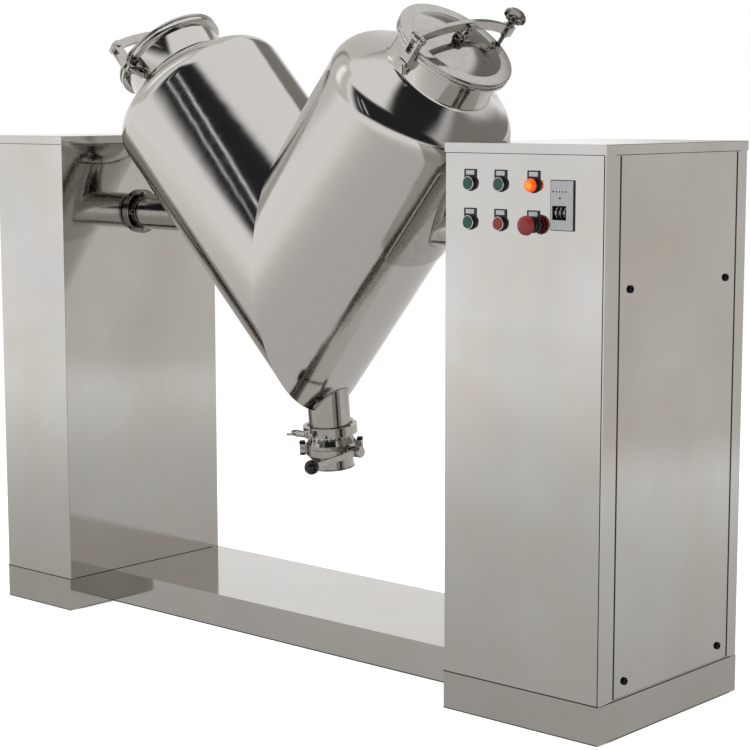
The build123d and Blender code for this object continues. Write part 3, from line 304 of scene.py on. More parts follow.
# Tank shell: each arm is a rolled barrel cut on the mitre, a spun crown and a rolled neck with a
# turned flange, 4 mm stainless. One smooth skin per arm replaces the faceted barrel, crown and neck.
TANK_X = -0.075
SHAFT_HEIGHT = 1.005
TANK_TILT = 5.6
HALF_ANGLE = math.radians(41.2)
ARM_DROP = 0.125
ARM_RADIUS = 0.222
WALL = 0.004
BARREL_END = 0.528
KNUCKLE = 0.060
KNUCKLE_TURN = 58.0
KNUCKLE_STEPS = 14
NECK_RADIUS = 0.125
NECK_BORE = 0.122
NECK_TOP = 0.691
FOOT_FILLET = 0.005
FOOT_FILLET_MIDDLE = 0.0014
FLANGE_RADIUS = 0.1375
FLANGE_THICK = 0.008
FLANGE_ROUND = 0.0015
FLANGE_ROUND_MIDDLE = 0.0004
SMALL_CHAMFER = 0.001
OUTLET_BORE = 0.0465
OUTLET_BORE_LOW = -0.48
OUTLET_BORE_HIGH = -0.33
ROUND_STEPS = 192
SIDES = {"right": 1, "left": -1}
TANK = Matrix.Translation((TANK_X, 0, SHAFT_HEIGHT)) @ turn(TANK_TILT, "X")


def arm_matrix(side):
    """From an arm's own frame, where Z runs out along it, to the row frame."""
    return TANK @ Matrix.Translation((0, 0, -ARM_DROP)) @ Matrix.Rotation(side * HALF_ANGLE, 4, "Y")


def arc(centre, radius, start, end, steps):
    """Points along an arc between two angles in degrees."""
    angles = [math.radians(start + (end - start) * n / steps) for n in range(steps + 1)]
    return [(centre[0] + radius * math.cos(a), centre[1] + radius * math.sin(a)) for a in angles]


def round_points(radius, steps):
    """Points once round a circle about the origin."""
    return arc((0, 0), radius, 0, 360, steps)[:-1]


def ring_of(bm, points, place=Matrix.Identity(4)):
    """New vertices at the points."""
    return [bm.verts.new(place @ Vector(p)) for p in points]


def join_rings(bm, rings):
    """Faces from each ring to the next, in order. A ring of one vertex is a pole."""
    faces = []
    for first, second in zip(rings, rings[1:]):
        steps = max(len(first), len(second))
        for n in range(steps if steps > 1 else 0):
            m = (n + 1) % steps
            corners = [first[k % len(first)] for k in (n, m)] + [second[k % len(second)] for k in (m, n)]
            faces.append(bm.faces.new(list(dict.fromkeys(corners))))
    return faces


def turned_shape(bm, outline, steps=96, place=Matrix.Identity(4)):
    """A closed shape turned about Z from (radius, height) points. Radius 0 is a pole."""
    rings = []
    for radius, height in outline:
        spots = round_points(radius, steps) if radius > 1e-6 else [(0, 0)]
        rings.append(ring_of(bm, [(x, y, height) for x, y in spots], place))
    join_rings(bm, rings + rings[:1])


def shell_outline():
    """(radius, length) points of the wall: out along the outside, over the flange, back inside."""
    centre = (ARM_RADIUS - KNUCKLE, BARREL_END)
    outside = arc(centre, KNUCKLE, 0, KNUCKLE_TURN, KNUCKLE_STEPS)
    inside = arc(centre, KNUCKLE - WALL, 0, KNUCKLE_TURN, KNUCKLE_STEPS)
    slope = 1 / math.tan(math.radians(KNUCKLE_TURN))
    foot = outside[-1][1] + (outside[-1][0] - NECK_RADIUS) * slope
    foot_inside = inside[-1][1] + (inside[-1][0] - NECK_BORE) * slope
    under = NECK_TOP - FLANGE_THICK
    neck = [
        (NECK_RADIUS + FOOT_FILLET, foot - FOOT_FILLET * slope),
        (NECK_RADIUS + FOOT_FILLET_MIDDLE, foot + FOOT_FILLET_MIDDLE), (NECK_RADIUS, foot + FOOT_FILLET),
        (NECK_RADIUS, under - SMALL_CHAMFER), (NECK_RADIUS + SMALL_CHAMFER, under),
        (FLANGE_RADIUS - FLANGE_ROUND, under),
        (FLANGE_RADIUS - FLANGE_ROUND_MIDDLE, under + FLANGE_ROUND_MIDDLE),
        (FLANGE_RADIUS, under + FLANGE_ROUND), (FLANGE_RADIUS, NECK_TOP - FLANGE_ROUND),
        (FLANGE_RADIUS - FLANGE_ROUND_MIDDLE, NECK_TOP - FLANGE_ROUND_MIDDLE),
        (FLANGE_RADIUS - FLANGE_ROUND, NECK_TOP), (NECK_BORE + SMALL_CHAMFER, NECK_TOP),
        (NECK_BORE, NECK_TOP - SMALL_CHAMFER), (NECK_BORE, foot_inside),
    ]
    return outside + neck + inside[::-1]


def from_bmesh(name, bm):
    """An object from a finished bmesh."""
    mesh = bpy.data.meshes.new(name)
    bm.to_mesh(mesh)
    bm.free()
    return stand(name, mesh)


def shell(name, side):
    """A skin of quads round the arm. Its first and last rings lie on the mitre plane."""
    bm = bmesh.new()
    layer = bm.loops.layers.uv.new("along")
    rings = []
    for radius, length in [(ARM_RADIUS, None), *shell_outline(), (ARM_RADIUS - WALL, None)]:
        rings.append(ring_of(bm, [
            (x, y, -side * x / math.tan(HALF_ANGLE) if length is None else length)
            for x, y in round_points(radius, ROUND_STEPS)
        ]))
    for index, face in enumerate(join_rings(bm, rings + rings[:1])):
        n = index % ROUND_STEPS
        for loop, step in zip(face.loops, (n, n + 1, n + 1, n)):
            loop[layer].uv = (step / ROUND_STEPS * 2 * math.pi * ARM_RADIUS, loop.vert.co.z)
    return from_bmesh(name, bm)


def shade(made, sharp=35.0):
    """Smooth shading, with crisp edges past an angle."""
    made.data.shade_smooth()
    made.data.set_sharp_from_angle(angle=math.radians(sharp))
    made.data.update()


def freeze(made):
    """Turns an object and its modifiers into a plain mesh."""
    mesh = bpy.data.meshes.new_from_object(made.evaluated_get(bpy.context.evaluated_depsgraph_get()))
    made.modifiers.clear()
    old = made.data
    made.data = mesh
    bpy.data.meshes.remove(old)


def cut(made, cutter):
    """Takes the cutter's shape out of a mesh and removes the cutter."""
    modifier = made.modifiers.new("cut", "BOOLEAN")
    modifier.object = cutter
    modifier.operation = "DIFFERENCE"
    modifier.solver = "EXACT"
    freeze(made)
    bpy.data.objects.remove(cutter)


def fit(made, body, slot, *nodes):
    """Gives a piece its body, and hides the CAD nodes that it stands for. The slot is not used."""
    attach(made, body)
    if nodes:
        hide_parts(*nodes)


# Buffed with a wheel: a near mirror, with faint marks that run round the arm and a slow swell. The
# marks are 110 mm long and 11 mm apart, coarser than the real ones, so that they show.
MARK_SCALE = (1 / 0.111, 1 / 0.0111, 1)
SWELL_SIZE = 0.111
buffed, tree = blank_material("buffed_mirror_stainless")
where = add(tree, "ShaderNodeUVMap", {"uv_map": "along"})
lines = add(tree, "ShaderNodeMapping", Vector=where, Scale=MARK_SCALE)
marks = add(tree, "ShaderNodeTexNoise", Vector=lines, Scale=1.0, Detail=3.0)
rough = add(tree, "ShaderNodeMapRange", Value=marks, To_Min=0.05, To_Max=0.15)
swell = add(tree, "ShaderNodeTexNoise", Vector=place_vector(tree), Scale=1 / SWELL_SIZE, Detail=2.0)
bump = add(tree, "ShaderNodeBump", Strength=0.25, Distance=0.003, Height=swell)
skin = add(
    tree, "ShaderNodeBsdfPrincipled", Base_Color=linear("cbc8c4"), Metallic=1.0, Roughness=rough, Normal=bump,
)
add(tree, "ShaderNodeOutputMaterial", Surface=skin)

for side_name, side in SIDES.items():
    skin_piece = shell(f"{side_name}_arm_shell", side)
    skin_piece.data.transform(arm_matrix(side))
    bm = bmesh.new()
    turned_shape(bm, [
        (0, OUTLET_BORE_LOW), (OUTLET_BORE, OUTLET_BORE_LOW), (OUTLET_BORE, OUTLET_BORE_HIGH),
        (0, OUTLET_BORE_HIGH),
    ], place=TANK)
    cut(skin_piece, from_bmesh("outlet_bore", bm))
    skin_piece.data.materials.clear()
    skin_piece.data.materials.append(buffed)
    shade(skin_piece)
    replaced = [f"{side_name}_{part}" for part in ("barrel", "crown", "neck")]
    fit(skin_piece, "tank", "polished_steel", *replaced)


# Trunnions: on each arm a rolled saddle pad of 4 mm plate, and a pipe that is welded to it. Both are
# ground and polished like the shell, but by hand, so the steel is a little softer to the eye.
def worked_surface(name, dark, light, rough, grain, metallic=0.0, stretch=(1, 1, 1), relief=0.0):
    """Two shades and a range of gloss in marks. The marks' size and relief are in millimetres."""
    made, tree = blank_material(name)
    place = place_vector(tree, [1000 / grain * s for s in stretch])
    marks = add(tree, "ShaderNodeTexNoise", Vector=place, Scale=1.0, Detail=4.0)
    spread = add(tree, "ShaderNodeMapRange", Value=marks, From_Min=0.3, From_Max=0.7)
    tint = add(
        tree, "ShaderNodeMix", {"data_type": "RGBA"}, i0=spread, i6=linear(dark), i7=linear(light),
    )
    gloss = add(tree, "ShaderNodeMapRange", Value=marks, To_Min=rough[0], To_Max=rough[1])
    skin = add(
        tree, "ShaderNodeBsdfPrincipled", Base_Color=tint.outputs[2], Metallic=metallic, Roughness=gloss,
    )
    if relief:
        bump = add(tree, "ShaderNodeBump", Strength=0.4, Distance=relief / 1000, Height=marks)
        tree.links.new(bump.outputs[0], skin.inputs["Normal"])
    add(tree, "ShaderNodeOutputMaterial", Surface=skin)
    return made


def merged_copy(node):
    """A bmesh of a CAD node with its loose triangles joined, and its flat faces made whole."""
    bm = bmesh.new()
    bm.from_mesh(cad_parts[node].data)
    bmesh.ops.remove_doubles(bm, verts=bm.verts, dist=2e-6)
    bmesh.ops.dissolve_limit(bm, angle_limit=math.radians(0.4), verts=bm.verts, edges=bm.edges)
    return bm


def outward_faces(bm):
    """Turns every face outwards."""
    bmesh.ops.recalc_face_normals(bm, faces=bm.faces)
    return bm


def finished_piece(name, bm, material, body, slot, *nodes, edge=0.0, sharp=35.0):
    """A piece from a bmesh: edges broken by a small bevel, shading, body and replaced nodes."""
    made = from_bmesh(name, bm)
    if "custom_normal" in made.data.attributes:
        made.data.attributes.remove(made.data.attributes["custom_normal"])
    if edge:
        bevel = made.modifiers.new("broken_edges", "BEVEL")
        bevel.width = edge
        bevel.segments = 2
        bevel.limit_method = "ANGLE"
        bevel.angle_limit = math.radians(28)
        freeze(made)
    made.data.materials.clear()
    made.data.materials.append(material)
    shade(made, sharp)
    if edge:
        made.modifiers.new("flat_faces", "WEIGHTED_NORMAL").keep_sharp = True
        freeze(made)
    fit(made, body, slot, *nodes)


# Painted shade: the fittings' colour is darker than the shell's.
polished_and_shaded = worked_surface("polished_stainless_fittings_shaded", "b0ada8", "bdbab6", (0.08, 0.13), 14, metallic=1.0)
PAD_THICK = 0.004
PIPE_RADIUS = 0.0450
PIPE_END = 0.5788
PIPE_ROUND = 0.0015
PATH_STEPS = 120


def pipe_foot():
    """Where the trunnion pipe meets the pad, in the tank's frame, for the right arm."""
    points = []
    for y, z in round_points(PIPE_RADIUS, PATH_STEPS):
        reach = math.sqrt((ARM_RADIUS + PAD_THICK) ** 2 - y * y)
        points.append(((reach + (z + ARM_DROP) * math.sin(HALF_ANGLE)) / math.cos(HALF_ANGLE), y, z))
    return points


for side_name, side in SIDES.items():
    name = f"{side_name}_trunnion"
    bm = merged_copy(name)
    foot = pipe_foot()
    narrowed = 1 - PIPE_ROUND / PIPE_RADIUS
    rings = [
        ring_of(bm, ring, TANK @ Matrix.Diagonal((side, 1, 1, 1))) for ring in (
            [(x - PIPE_ROUND, y, z) for x, y, z in foot],
            [(PIPE_END - PIPE_ROUND, y, z) for x, y, z in foot],
            [(PIPE_END, y * narrowed, z * narrowed) for x, y, z in foot],
        )
    ]
    join_rings(bm, rings)
    bm.faces.new(rings[-1])
    finished_piece(f"{name}_skin", outward_faces(bm), polished_and_shaded, "tank", "polished_steel", name, edge=0.0008)

# Weld beads: hand-laid fillets round each saddle pad, at the foot of each trunnion pipe and round the
# outlet tube, brushed after welding. The ripple is 4 mm, about double the real one, so that it shows.
PAD_LOW = 0.245
PAD_HIGH = 0.524
PAD_HALF_TURN = math.radians(30)
PAD_CORNER = 0.018
BEAD_LIFT = 0.0006
RIPPLE = 0.004
OUTLET_RADIUS = 0.0508


def node_tree(name, *sizes):
    """A Geometry Nodes tree with named sizes. Returns the tree and what it is given."""
    tree = bpy.data.node_groups.new(name, "GeometryNodeTree")
    tree.interface.new_socket("Geometry", in_out="INPUT", socket_type="NodeSocketGeometry")
    for size in sizes:
        tree.interface.new_socket(size, in_out="INPUT", socket_type="NodeSocketFloat")
    tree.interface.new_socket("Geometry", in_out="OUTPUT", socket_type="NodeSocketGeometry")
    return tree, tree.nodes.new("NodeGroupInput").outputs


def close_tree(tree, geometry, material):
    """Ends a tree: real geometry, with its material."""
    real = add(tree, "GeometryNodeRealizeInstances", Geometry=geometry)
    coated = add(tree, "GeometryNodeSetMaterial", Geometry=real, Material=material)
    add(tree, "NodeGroupOutput", i0=coated)


def line_tree(name, seed, sides, material):
    """A tree that sweeps a round along a path. Its width wanders a little at each step."""
    tree, given = node_tree(name, "Radius", "Step", "Least Width", "Most Width")
    line = add(tree, "GeometryNodeMeshToCurve", Mesh=given["Geometry"])
    line = add(tree, "GeometryNodeResampleCurve", {"mode": "LENGTH"}, Curve=line, Length=given["Step"])
    wander = add(
        tree, "FunctionNodeRandomValue", i2=given["Least Width"], i3=given["Most Width"], Seed=seed,
    )
    line = add(tree, "GeometryNodeSetCurveRadius", Curve=line, Radius=wander.outputs[1])
    profile = add(tree, "GeometryNodeCurvePrimitiveCircle", Resolution=sides, Radius=given["Radius"])
    swept = add(tree, "GeometryNodeCurveToMesh", Curve=line, Profile_Curve=profile, Fill_Caps=True)
    close_tree(tree, swept, material)
    return tree


def grown_piece(name, points, edges, tree, sizes, body, slot, *nodes, directions=None, sharp=35.0):
    """Runs a tree over points or a path, and keeps the plain mesh that it makes."""
    mesh = bpy.data.meshes.new(name)
    mesh.from_pydata(points, edges, [])
    if directions:
        held = mesh.attributes.new("points_to", "FLOAT_VECTOR", "POINT")
        held.data.foreach_set("vector", [c for way in directions for c in way])
    made = stand(name, mesh)
    modifier = made.modifiers.new(name, "NODES")
    modifier.node_group = tree
    for socket in tree.interface.items_tree:
        if socket.item_type == "SOCKET" and socket.in_out == "INPUT" and socket.name in sizes:
            modifier[socket.identifier] = sizes[socket.name]
    freeze(made)
    shade(made, sharp)
    fit(made, body, slot, *nodes)


def laid_line(name, points, tree, radius, step, least, most, body, slot, sharp=35.0):
    """A line laid from one point to another, or round more of them."""
    count = len(points)
    edges = [(n, (n + 1) % count) for n in range(count if count > 2 else 1)]
    sizes = {"Radius": radius, "Step": step, "Least Width": least, "Most Width": most}
    grown_piece(name, points, edges, tree, sizes, body, slot, sharp=sharp)


def rounded_rectangle(low, high, corner, steps):
    """Points round a rectangle, with an arc at each corner."""
    left, right = low[0] + corner, high[0] - corner
    bottom, top = low[1] + corner, high[1] - corner
    points = []
    for n, centre in enumerate(((right, top), (left, top), (left, bottom), (right, bottom))):
        points += arc(centre, corner, 90 * n, 90 * n + 90, steps)
    return points


def pad_edge():
    """Points round the pad's edge on the barrel, in the arm's frame."""
    half = PAD_HALF_TURN * ARM_RADIUS
    radius = ARM_RADIUS + BEAD_LIFT
    return [
        (radius * math.cos(across / ARM_RADIUS), radius * math.sin(across / ARM_RADIUS), along)
        for across, along in rounded_rectangle((-half, PAD_LOW), (half, PAD_HIGH), PAD_CORNER, 6)
    ]


def outlet_root():
    """Where the outlet tube meets the two arms, in the tank's frame."""
    points = []
    for x, y in round_points(OUTLET_RADIUS, PATH_STEPS):
        reach = math.sqrt(ARM_RADIUS ** 2 - y * y)
        points.append((x, y, (abs(x) * math.cos(HALF_ANGLE) - reach) / math.sin(HALF_ANGLE) - ARM_DROP))
    return points


def weld(name, points, radius, place):
    """A bead along a closed path."""
    laid_line(
        name, [place @ Vector(p) for p in points], bead_tree, radius, RIPPLE, 0.8, 1.15,
        body="tank", slot="fitting_steel", sharp=60.0,
    )


weld_metal = worked_surface(
    "brushed_weld_metal", "8e8983", "b7b3ad", (0.18, 0.32), 5, metallic=1.0, relief=0.3,
)
bead_tree = line_tree("weld_bead", 4, 10, weld_metal)
for side_name, side in SIDES.items():
    mirror = Matrix.Diagonal((side, 1, 1, 1))
    weld(f"{side_name}_pad_weld", pad_edge(), 0.0016, arm_matrix(side) @ mirror)
    weld(f"{side_name}_pipe_weld", pipe_foot(), 0.0022, TANK @ mirror)
weld("outlet_weld", outlet_root(), 0.0018, TANK)


# Shafts and wall covers: turned stainless, darker where the tool left its fine rings, and darkened all
# over as painted shade. Each shaft has a collar by the tank and two grooves, and runs through a
# stepped cover bolted on the cabinet's wall.
def refinished(name, node, material, body, slot, edge=0.0, sharp=35.0):
    """A piece with a CAD node's own shape."""
    finished_piece(name, merged_copy(node), material, body, slot, node, edge=edge, sharp=sharp)


turned_and_shaded = worked_surface(
    "turned_stainless_shaded", "706c68", "918d88", (0.12, 0.22), 1.2, metallic=1.0, stretch=(6, 1, 1),
)
refinished("drive_shaft_skin", "drive_shaft", turned_and_shaded, "tank", "turned_steel")
refinished("idle_shaft_skin", "idle_shaft", turned_and_shaded, "tank", "turned_steel")
refinished("wall_covers", "shaft_covers", turned_and_shaded, "frame", "fitting_steel", 0.0006)

# Hexagon bolts: bright stainless, on the two covers and the bearings behind the walls. The heads have
# a chamfer and a washer, and each one stopped at its own angle.
CHAMFER_RISE = 0.16
CHAMFER_SHRINK = 0.84
WASHER_SPREAD = 0.82
WASHER_THICK = 0.0012
bolt_tree, given = node_tree("hex_bolts", "Across Flats", "Head Height", "Shank Radius", "Shank Length")
flats, height, shank_length = given["Across Flats"], given["Head Height"], given["Shank Length"]
corner = add(bolt_tree, "ShaderNodeMath", {"operation": "DIVIDE"}, i0=flats, i1=math.sqrt(3))
head = add(bolt_tree, "GeometryNodeMeshCylinder", Vertices=6, Radius=corner, Depth=height)
rise = add(bolt_tree, "ShaderNodeMath", {"operation": "MULTIPLY"}, i0=height, i1=CHAMFER_RISE)
top = add(
    bolt_tree, "GeometryNodeExtrudeMesh", Mesh=head, Selection=head.outputs["Top"], Offset_Scale=rise,
)
head = add(
    bolt_tree, "GeometryNodeScaleElements", Geometry=top, Selection=top.outputs["Top"], Scale=CHAMFER_SHRINK,
)
lift = add(
    bolt_tree, "ShaderNodeVectorMath", {"operation": "MULTIPLY_ADD"}, i0=height, i1=(0, 0, 0.5),
    i2=(0, 0, WASHER_THICK),
)
head = add(bolt_tree, "GeometryNodeTransform", Geometry=head, Translation=lift)
washer_radius = add(bolt_tree, "ShaderNodeMath", {"operation": "MULTIPLY"}, i0=flats, i1=WASHER_SPREAD)
washer = add(bolt_tree, "GeometryNodeMeshCylinder", Vertices=32, Radius=washer_radius, Depth=WASHER_THICK)
washer = add(bolt_tree, "GeometryNodeTransform", Geometry=washer, Translation=(0, 0, WASHER_THICK / 2))
shank = add(
    bolt_tree, "GeometryNodeMeshCylinder", Vertices=16, Radius=given["Shank Radius"], Depth=shank_length,
)
drop = add(bolt_tree, "ShaderNodeVectorMath", {"operation": "MULTIPLY"}, i0=shank_length, i1=(0, 0, -0.5))
shank = add(bolt_tree, "GeometryNodeTransform", Geometry=shank, Translation=drop)
bolt = add(bolt_tree, "GeometryNodeJoinGeometry")
for part in (head, washer, shank):
    bolt_tree.links.new(part.outputs[0], bolt.inputs[0])
way = add(bolt_tree, "GeometryNodeInputNamedAttribute", {"data_type": "FLOAT_VECTOR"}, Name="points_to")
aim = add(bolt_tree, "FunctionNodeAlignRotationToVector", {"axis": "Z"}, Vector=way)
stop_angle = add(bolt_tree, "FunctionNodeRandomValue", i2=0.0, i3=1.0, Seed=11)
own_turn = add(bolt_tree, "ShaderNodeCombineXYZ", Z=stop_angle.outputs[1])
spin = add(
    bolt_tree, "FunctionNodeRotateRotation", {"rotation_space": "LOCAL"}, Rotation=aim, Rotate_By=own_turn,
)


def set_out(tree, given, shape, rotation, material):
    """Ends a tree: the shape stands on each point."""
    placed = add(
        tree, "GeometryNodeInstanceOnPoints", Points=given["Geometry"], Instance=shape, Rotation=rotation,
    )
    close_tree(tree, placed, material)


bright = worked_surface("bright_stainless_bolts", "8c8984", "b4b1ad", (0.16, 0.3), 3, metallic=1.0)
set_out(bolt_tree, given, bolt, spin, bright)
DRIVE_WALL = 0.540
IDLE_WALL = -0.690
COVER_THICK = 0.0105
COVER_CIRCLE = 0.044
COVER_FACES = ((DRIVE_WALL - COVER_THICK, -1), (IDLE_WALL + COVER_THICK, 1))
BEARING_FACES = ((0.575, 1), (0.830, -1), (-0.725, -1))
BEARING_SPREAD = 0.053


def bolts(name, faces, pattern, sizes):
    """Bolts about the shafts' axis, on upright faces given by their X and the way that they look."""
    spots = [(x, y, SHAFT_HEIGHT + z) for x, way_out in faces for y, z in pattern]
    ways = [(way_out, 0, 0) for x, way_out in faces for _ in pattern]
    grown_piece(
        name, spots, [], bolt_tree, sizes, "frame", "bolt_steel", "flange_bolts", directions=ways, sharp=20.0,
    )


bolts(
    "cover_bolts", COVER_FACES, round_points(COVER_CIRCLE, 4),
    {"Across Flats": 0.010, "Head Height": 0.0048, "Shank Radius": 0.004, "Shank Length": 0.0104},
)
bolts(
    "bearing_bolts", BEARING_FACES,
    [(y, z) for y in (-BEARING_SPREAD, BEARING_SPREAD) for z in (-BEARING_SPREAD, BEARING_SPREAD)],
    {"Across Flats": 0.019, "Head Height": 0.0068, "Shank Radius": 0.006, "Shank Length": 0.0158},
)

# Lids: a domed stainless lid with a flat rim on each neck. Two welded ears, a pin and a pinch bolt
# hang it from the bow arm. The part's lid is dished; the photograph shows this low dome instead.
ON_EDGE = Matrix(((0, 0, 1, 0), (1, 0, 0, 0), (0, 1, 0, 0), (0, 0, 0, 1)))
ACROSS = turn(90, "Y")
DOME_RADIUS = 0.108
DOME_RISE = 0.019
DOME_WALL = 0.004
DOME_STEPS = 24
UNDER_DOME = 0.985
LID_LOW = 0.6952
LID_RIM = 0.1375
LID_TOP = 0.703
LID_ROUND = 0.003
LID_ROUND_MIDDLE = 0.0009
EAR_INSIDE = 0.0051
EAR_THICK = 0.005
EAR_SHOULDER = 0.757
EAR_TOP = 0.763
PIN_HEAD = 0.0025
YOKE_PIN = (0.005, 0.752, 0.014)
PINCH_BOLT = (0.0075, 0.733, 0.0145)


def slab(bm, outline, low, high, place):
    """A plate from an (x, y) outline, between two heights."""
    sheets = [ring_of(bm, [(x, y, z) for x, y in outline], place) for z in (low, high)]
    bm.faces.new(sheets[1])
    bm.faces.new(sheets[0][::-1])
    join_rings(bm, sheets)


def plate_pair(bm, outline, inside, thick, place):
    """Two like plates, one on each side of the middle."""
    for low in (-inside - thick, inside):
        slab(bm, outline, low, low + thick, place)


def round_bar(bm, radius, low, high, place):
    """A round bar along its place's Z."""
    turned_shape(bm, [(0, low), (radius, low), (radius, high), (0, high)], 32, place)


def headed_pin(bm, place, radius, reach, head_radius, head_low, head_high):
    """A pin along its place's Z, with a head at each end."""
    round_bar(bm, radius, -reach, reach, place)
    for low, high in ((-head_high, -head_low), (head_low, head_high)):
        round_bar(bm, head_radius, low, high, place)


def lid_outline():
    """Underside at the middle, out to the rim, and back over the dome."""
    sphere = (DOME_RADIUS ** 2 + DOME_RISE ** 2) / (2 * DOME_RISE)
    reach = math.degrees(math.asin(DOME_RADIUS / sphere))
    outer = arc((0, LID_TOP + DOME_RISE - sphere), sphere, 90, 90 - reach, DOME_STEPS)
    under = [(r * UNDER_DOME, z - DOME_WALL) for r, z in outer]
    rim = [
        (DOME_RADIUS * UNDER_DOME, LID_LOW), (LID_RIM - 0.002, LID_LOW), (LID_RIM, LID_LOW + 0.0016),
        (LID_RIM, LID_TOP - LID_ROUND), (LID_RIM - LID_ROUND_MIDDLE, LID_TOP - LID_ROUND_MIDDLE),
        (LID_RIM - LID_ROUND, LID_TOP), (DOME_RADIUS + 0.004, LID_TOP),
        (DOME_RADIUS + 0.001, LID_TOP + 0.0003),
    ]
    return under[:-1] + rim + outer[::-1]


for side_name, side in SIDES.items():
    arm = arm_matrix(side)
    bm = bmesh.new()
    turned_shape(bm, lid_outline(), 160, arm)
    foot = LID_TOP + DOME_RISE - 0.002
    ear = [
        (-0.015, foot), (0.015, foot), (0.011, EAR_SHOULDER), (0.006, EAR_TOP), (-0.006, EAR_TOP),
        (-0.011, EAR_SHOULDER),
    ]
    plate_pair(bm, ear, EAR_INSIDE, EAR_THICK, arm @ ON_EDGE)
    for radius, height, reach in (YOKE_PIN, PINCH_BOLT):
        place = arm @ Matrix.Translation((0, 0, height)) @ ACROSS
        headed_pin(bm, place, radius, reach, radius + PIN_HEAD, reach - PIN_HEAD, reach)
    finished_piece(
        f"{side_name}_domed_lid", outward_faces(bm), polished_and_shaded, f"lid_{side_name}", "polished_steel",
        f"{side_name}_lid", edge=0.0004,
    )

# Bow arms: a bar on edge that rises from the hinge, holds the lid in its middle, and ends in a block
# with the clamp bolt's hole. Polished bar stock; the eye and the block are welded on.
HINGE_Y, HINGE_Z = -0.150, 0.733
STUD_Y = 0.160
BOW_TOP = 0.756
BOW_HEIGHT = 0.022
BOW_HALF_THICK = 0.005
BOW_STEPS = 28
BLOCK_LOW, BLOCK_MIDDLE, BLOCK_TOP = 0.716, 0.729, 0.741
BLOCK_HALF = 0.012
BLOCK_INNER = 0.014
BLOCK_CORNER = 0.005
EYE_RADIUS = 0.011
EYE_HALF = 0.007


def circle_through(a, b, c):
    """Centre and radius of the circle through three (y, z) points."""
    d = 2 * (a[0] * (b[1] - c[1]) + b[0] * (c[1] - a[1]) + c[0] * (a[1] - b[1]))
    squares = [p[0] ** 2 + p[1] ** 2 for p in (a, b, c)]
    y = (squares[0] * (b[1] - c[1]) + squares[1] * (c[1] - a[1]) + squares[2] * (a[1] - b[1])) / d
    z = (squares[0] * (c[0] - b[0]) + squares[1] * (a[0] - c[0]) + squares[2] * (b[0] - a[0])) / d
    return (y, z), math.hypot(a[0] - y, a[1] - z)


def bow_outline():
    """(y, z) points over the top of the bow and back along its underside."""
    hinge, end = (HINGE_Y, HINGE_Z), (STUD_Y - 0.008, BLOCK_MIDDLE)
    centre, radius = circle_through(hinge, (0, BOW_TOP), end)
    angles = [math.degrees(math.atan2(z - centre[1], y - centre[0])) for y, z in (hinge, end)]
    outer, inner = [
        arc(centre, radius + lift, *angles, BOW_STEPS) for lift in (BOW_HEIGHT / 2, -BOW_HEIGHT / 2)
    ]
    return outer + inner[::-1]


block = rounded_rectangle(
    (-BLOCK_HALF, STUD_Y - BLOCK_INNER), (BLOCK_HALF, STUD_Y + BLOCK_HALF), BLOCK_CORNER, 4,
)
for side_name, side in SIDES.items():
    arm = arm_matrix(side)
    bm = bmesh.new()
    slab(bm, bow_outline(), -BOW_HALF_THICK, BOW_HALF_THICK, arm @ ON_EDGE)
    hinge = arm @ Matrix.Translation((0, HINGE_Y, HINGE_Z)) @ ACROSS
    round_bar(bm, EYE_RADIUS, -EYE_HALF, EYE_HALF, hinge)
    slab(bm, block, BLOCK_LOW, BLOCK_TOP, arm)
    finished_piece(
        f"{side_name}_bow", outward_faces(bm), polished_and_shaded, f"lid_{side_name}", "fitting_steel",
        f"{side_name}_bow_arm", edge=0.0009,
    )


# Lid brackets: two bent ears on each neck hold the hinge pin, with a strut down to the crown, and a
# slotted lug on the far side takes the foot of the clamp bolt. Cut plate, welded on and polished.
def rectangle(low, high):
    """The four corners of a rectangle."""
    return [low, (high[0], low[1]), high, (low[0], high[1])]


BRACKET_INSIDE = 0.0074
BRACKET_THICK = 0.0056
BRACKET_BACK = -0.1595
bracket_ear = [
    (-0.122, 0.652), (-0.122, 0.677), (-0.141, 0.681), (-0.141, HINGE_Z), (-0.143, HINGE_Z + 0.007),
    (HINGE_Y, HINGE_Z + 0.011), (-0.157, HINGE_Z + 0.007), (BRACKET_BACK, HINGE_Z), (BRACKET_BACK, 0.676),
    (-0.150, 0.661),
]
FLOOR_PLATE = rectangle((-0.156, 0.664), (-0.122, 0.671))
BACK_PLATE = rectangle((BRACKET_BACK, 0.676), (BRACKET_BACK + 0.004, 0.694))
TIE_HALF = 0.0076
STRUT_PLACE = (0, -0.130, 0.637)
STRUT_LEAN = 35
STRUT_RADIUS = 0.005
STRUT_LOW, STRUT_HIGH = -0.004, 0.034
PIN_RADIUS = 0.006
PIN_REACH = 0.0155
PIN_HEAD_RADIUS = 0.009
PIN_HEAD_LOW, PIN_HEAD_HIGH = 0.0133, 0.017
LUG_LOW, LUG_HIGH = 0.655, 0.663
LUG_HALF = 0.022
LUG_OUT = 0.178
LUG_CORNER = 0.007
SLOT_HALF = 0.0075
SLOT_END = 0.1485
lug_side = [
    (LUG_HALF, 0.123), (LUG_HALF, LUG_OUT - LUG_CORNER), (LUG_HALF - LUG_CORNER, LUG_OUT),
    (SLOT_HALF, LUG_OUT),
]
lug = lug_side + arc((0, SLOT_END), SLOT_HALF, 0, -180, 9) + [(-x, y) for x, y in reversed(lug_side)]
GUSSET_INSIDE = 0.015
GUSSET_THICK = 0.005
gusset = [(0.1235, 0.636), (0.1235, LUG_LOW), (0.150, LUG_LOW), (0.127, 0.636)]
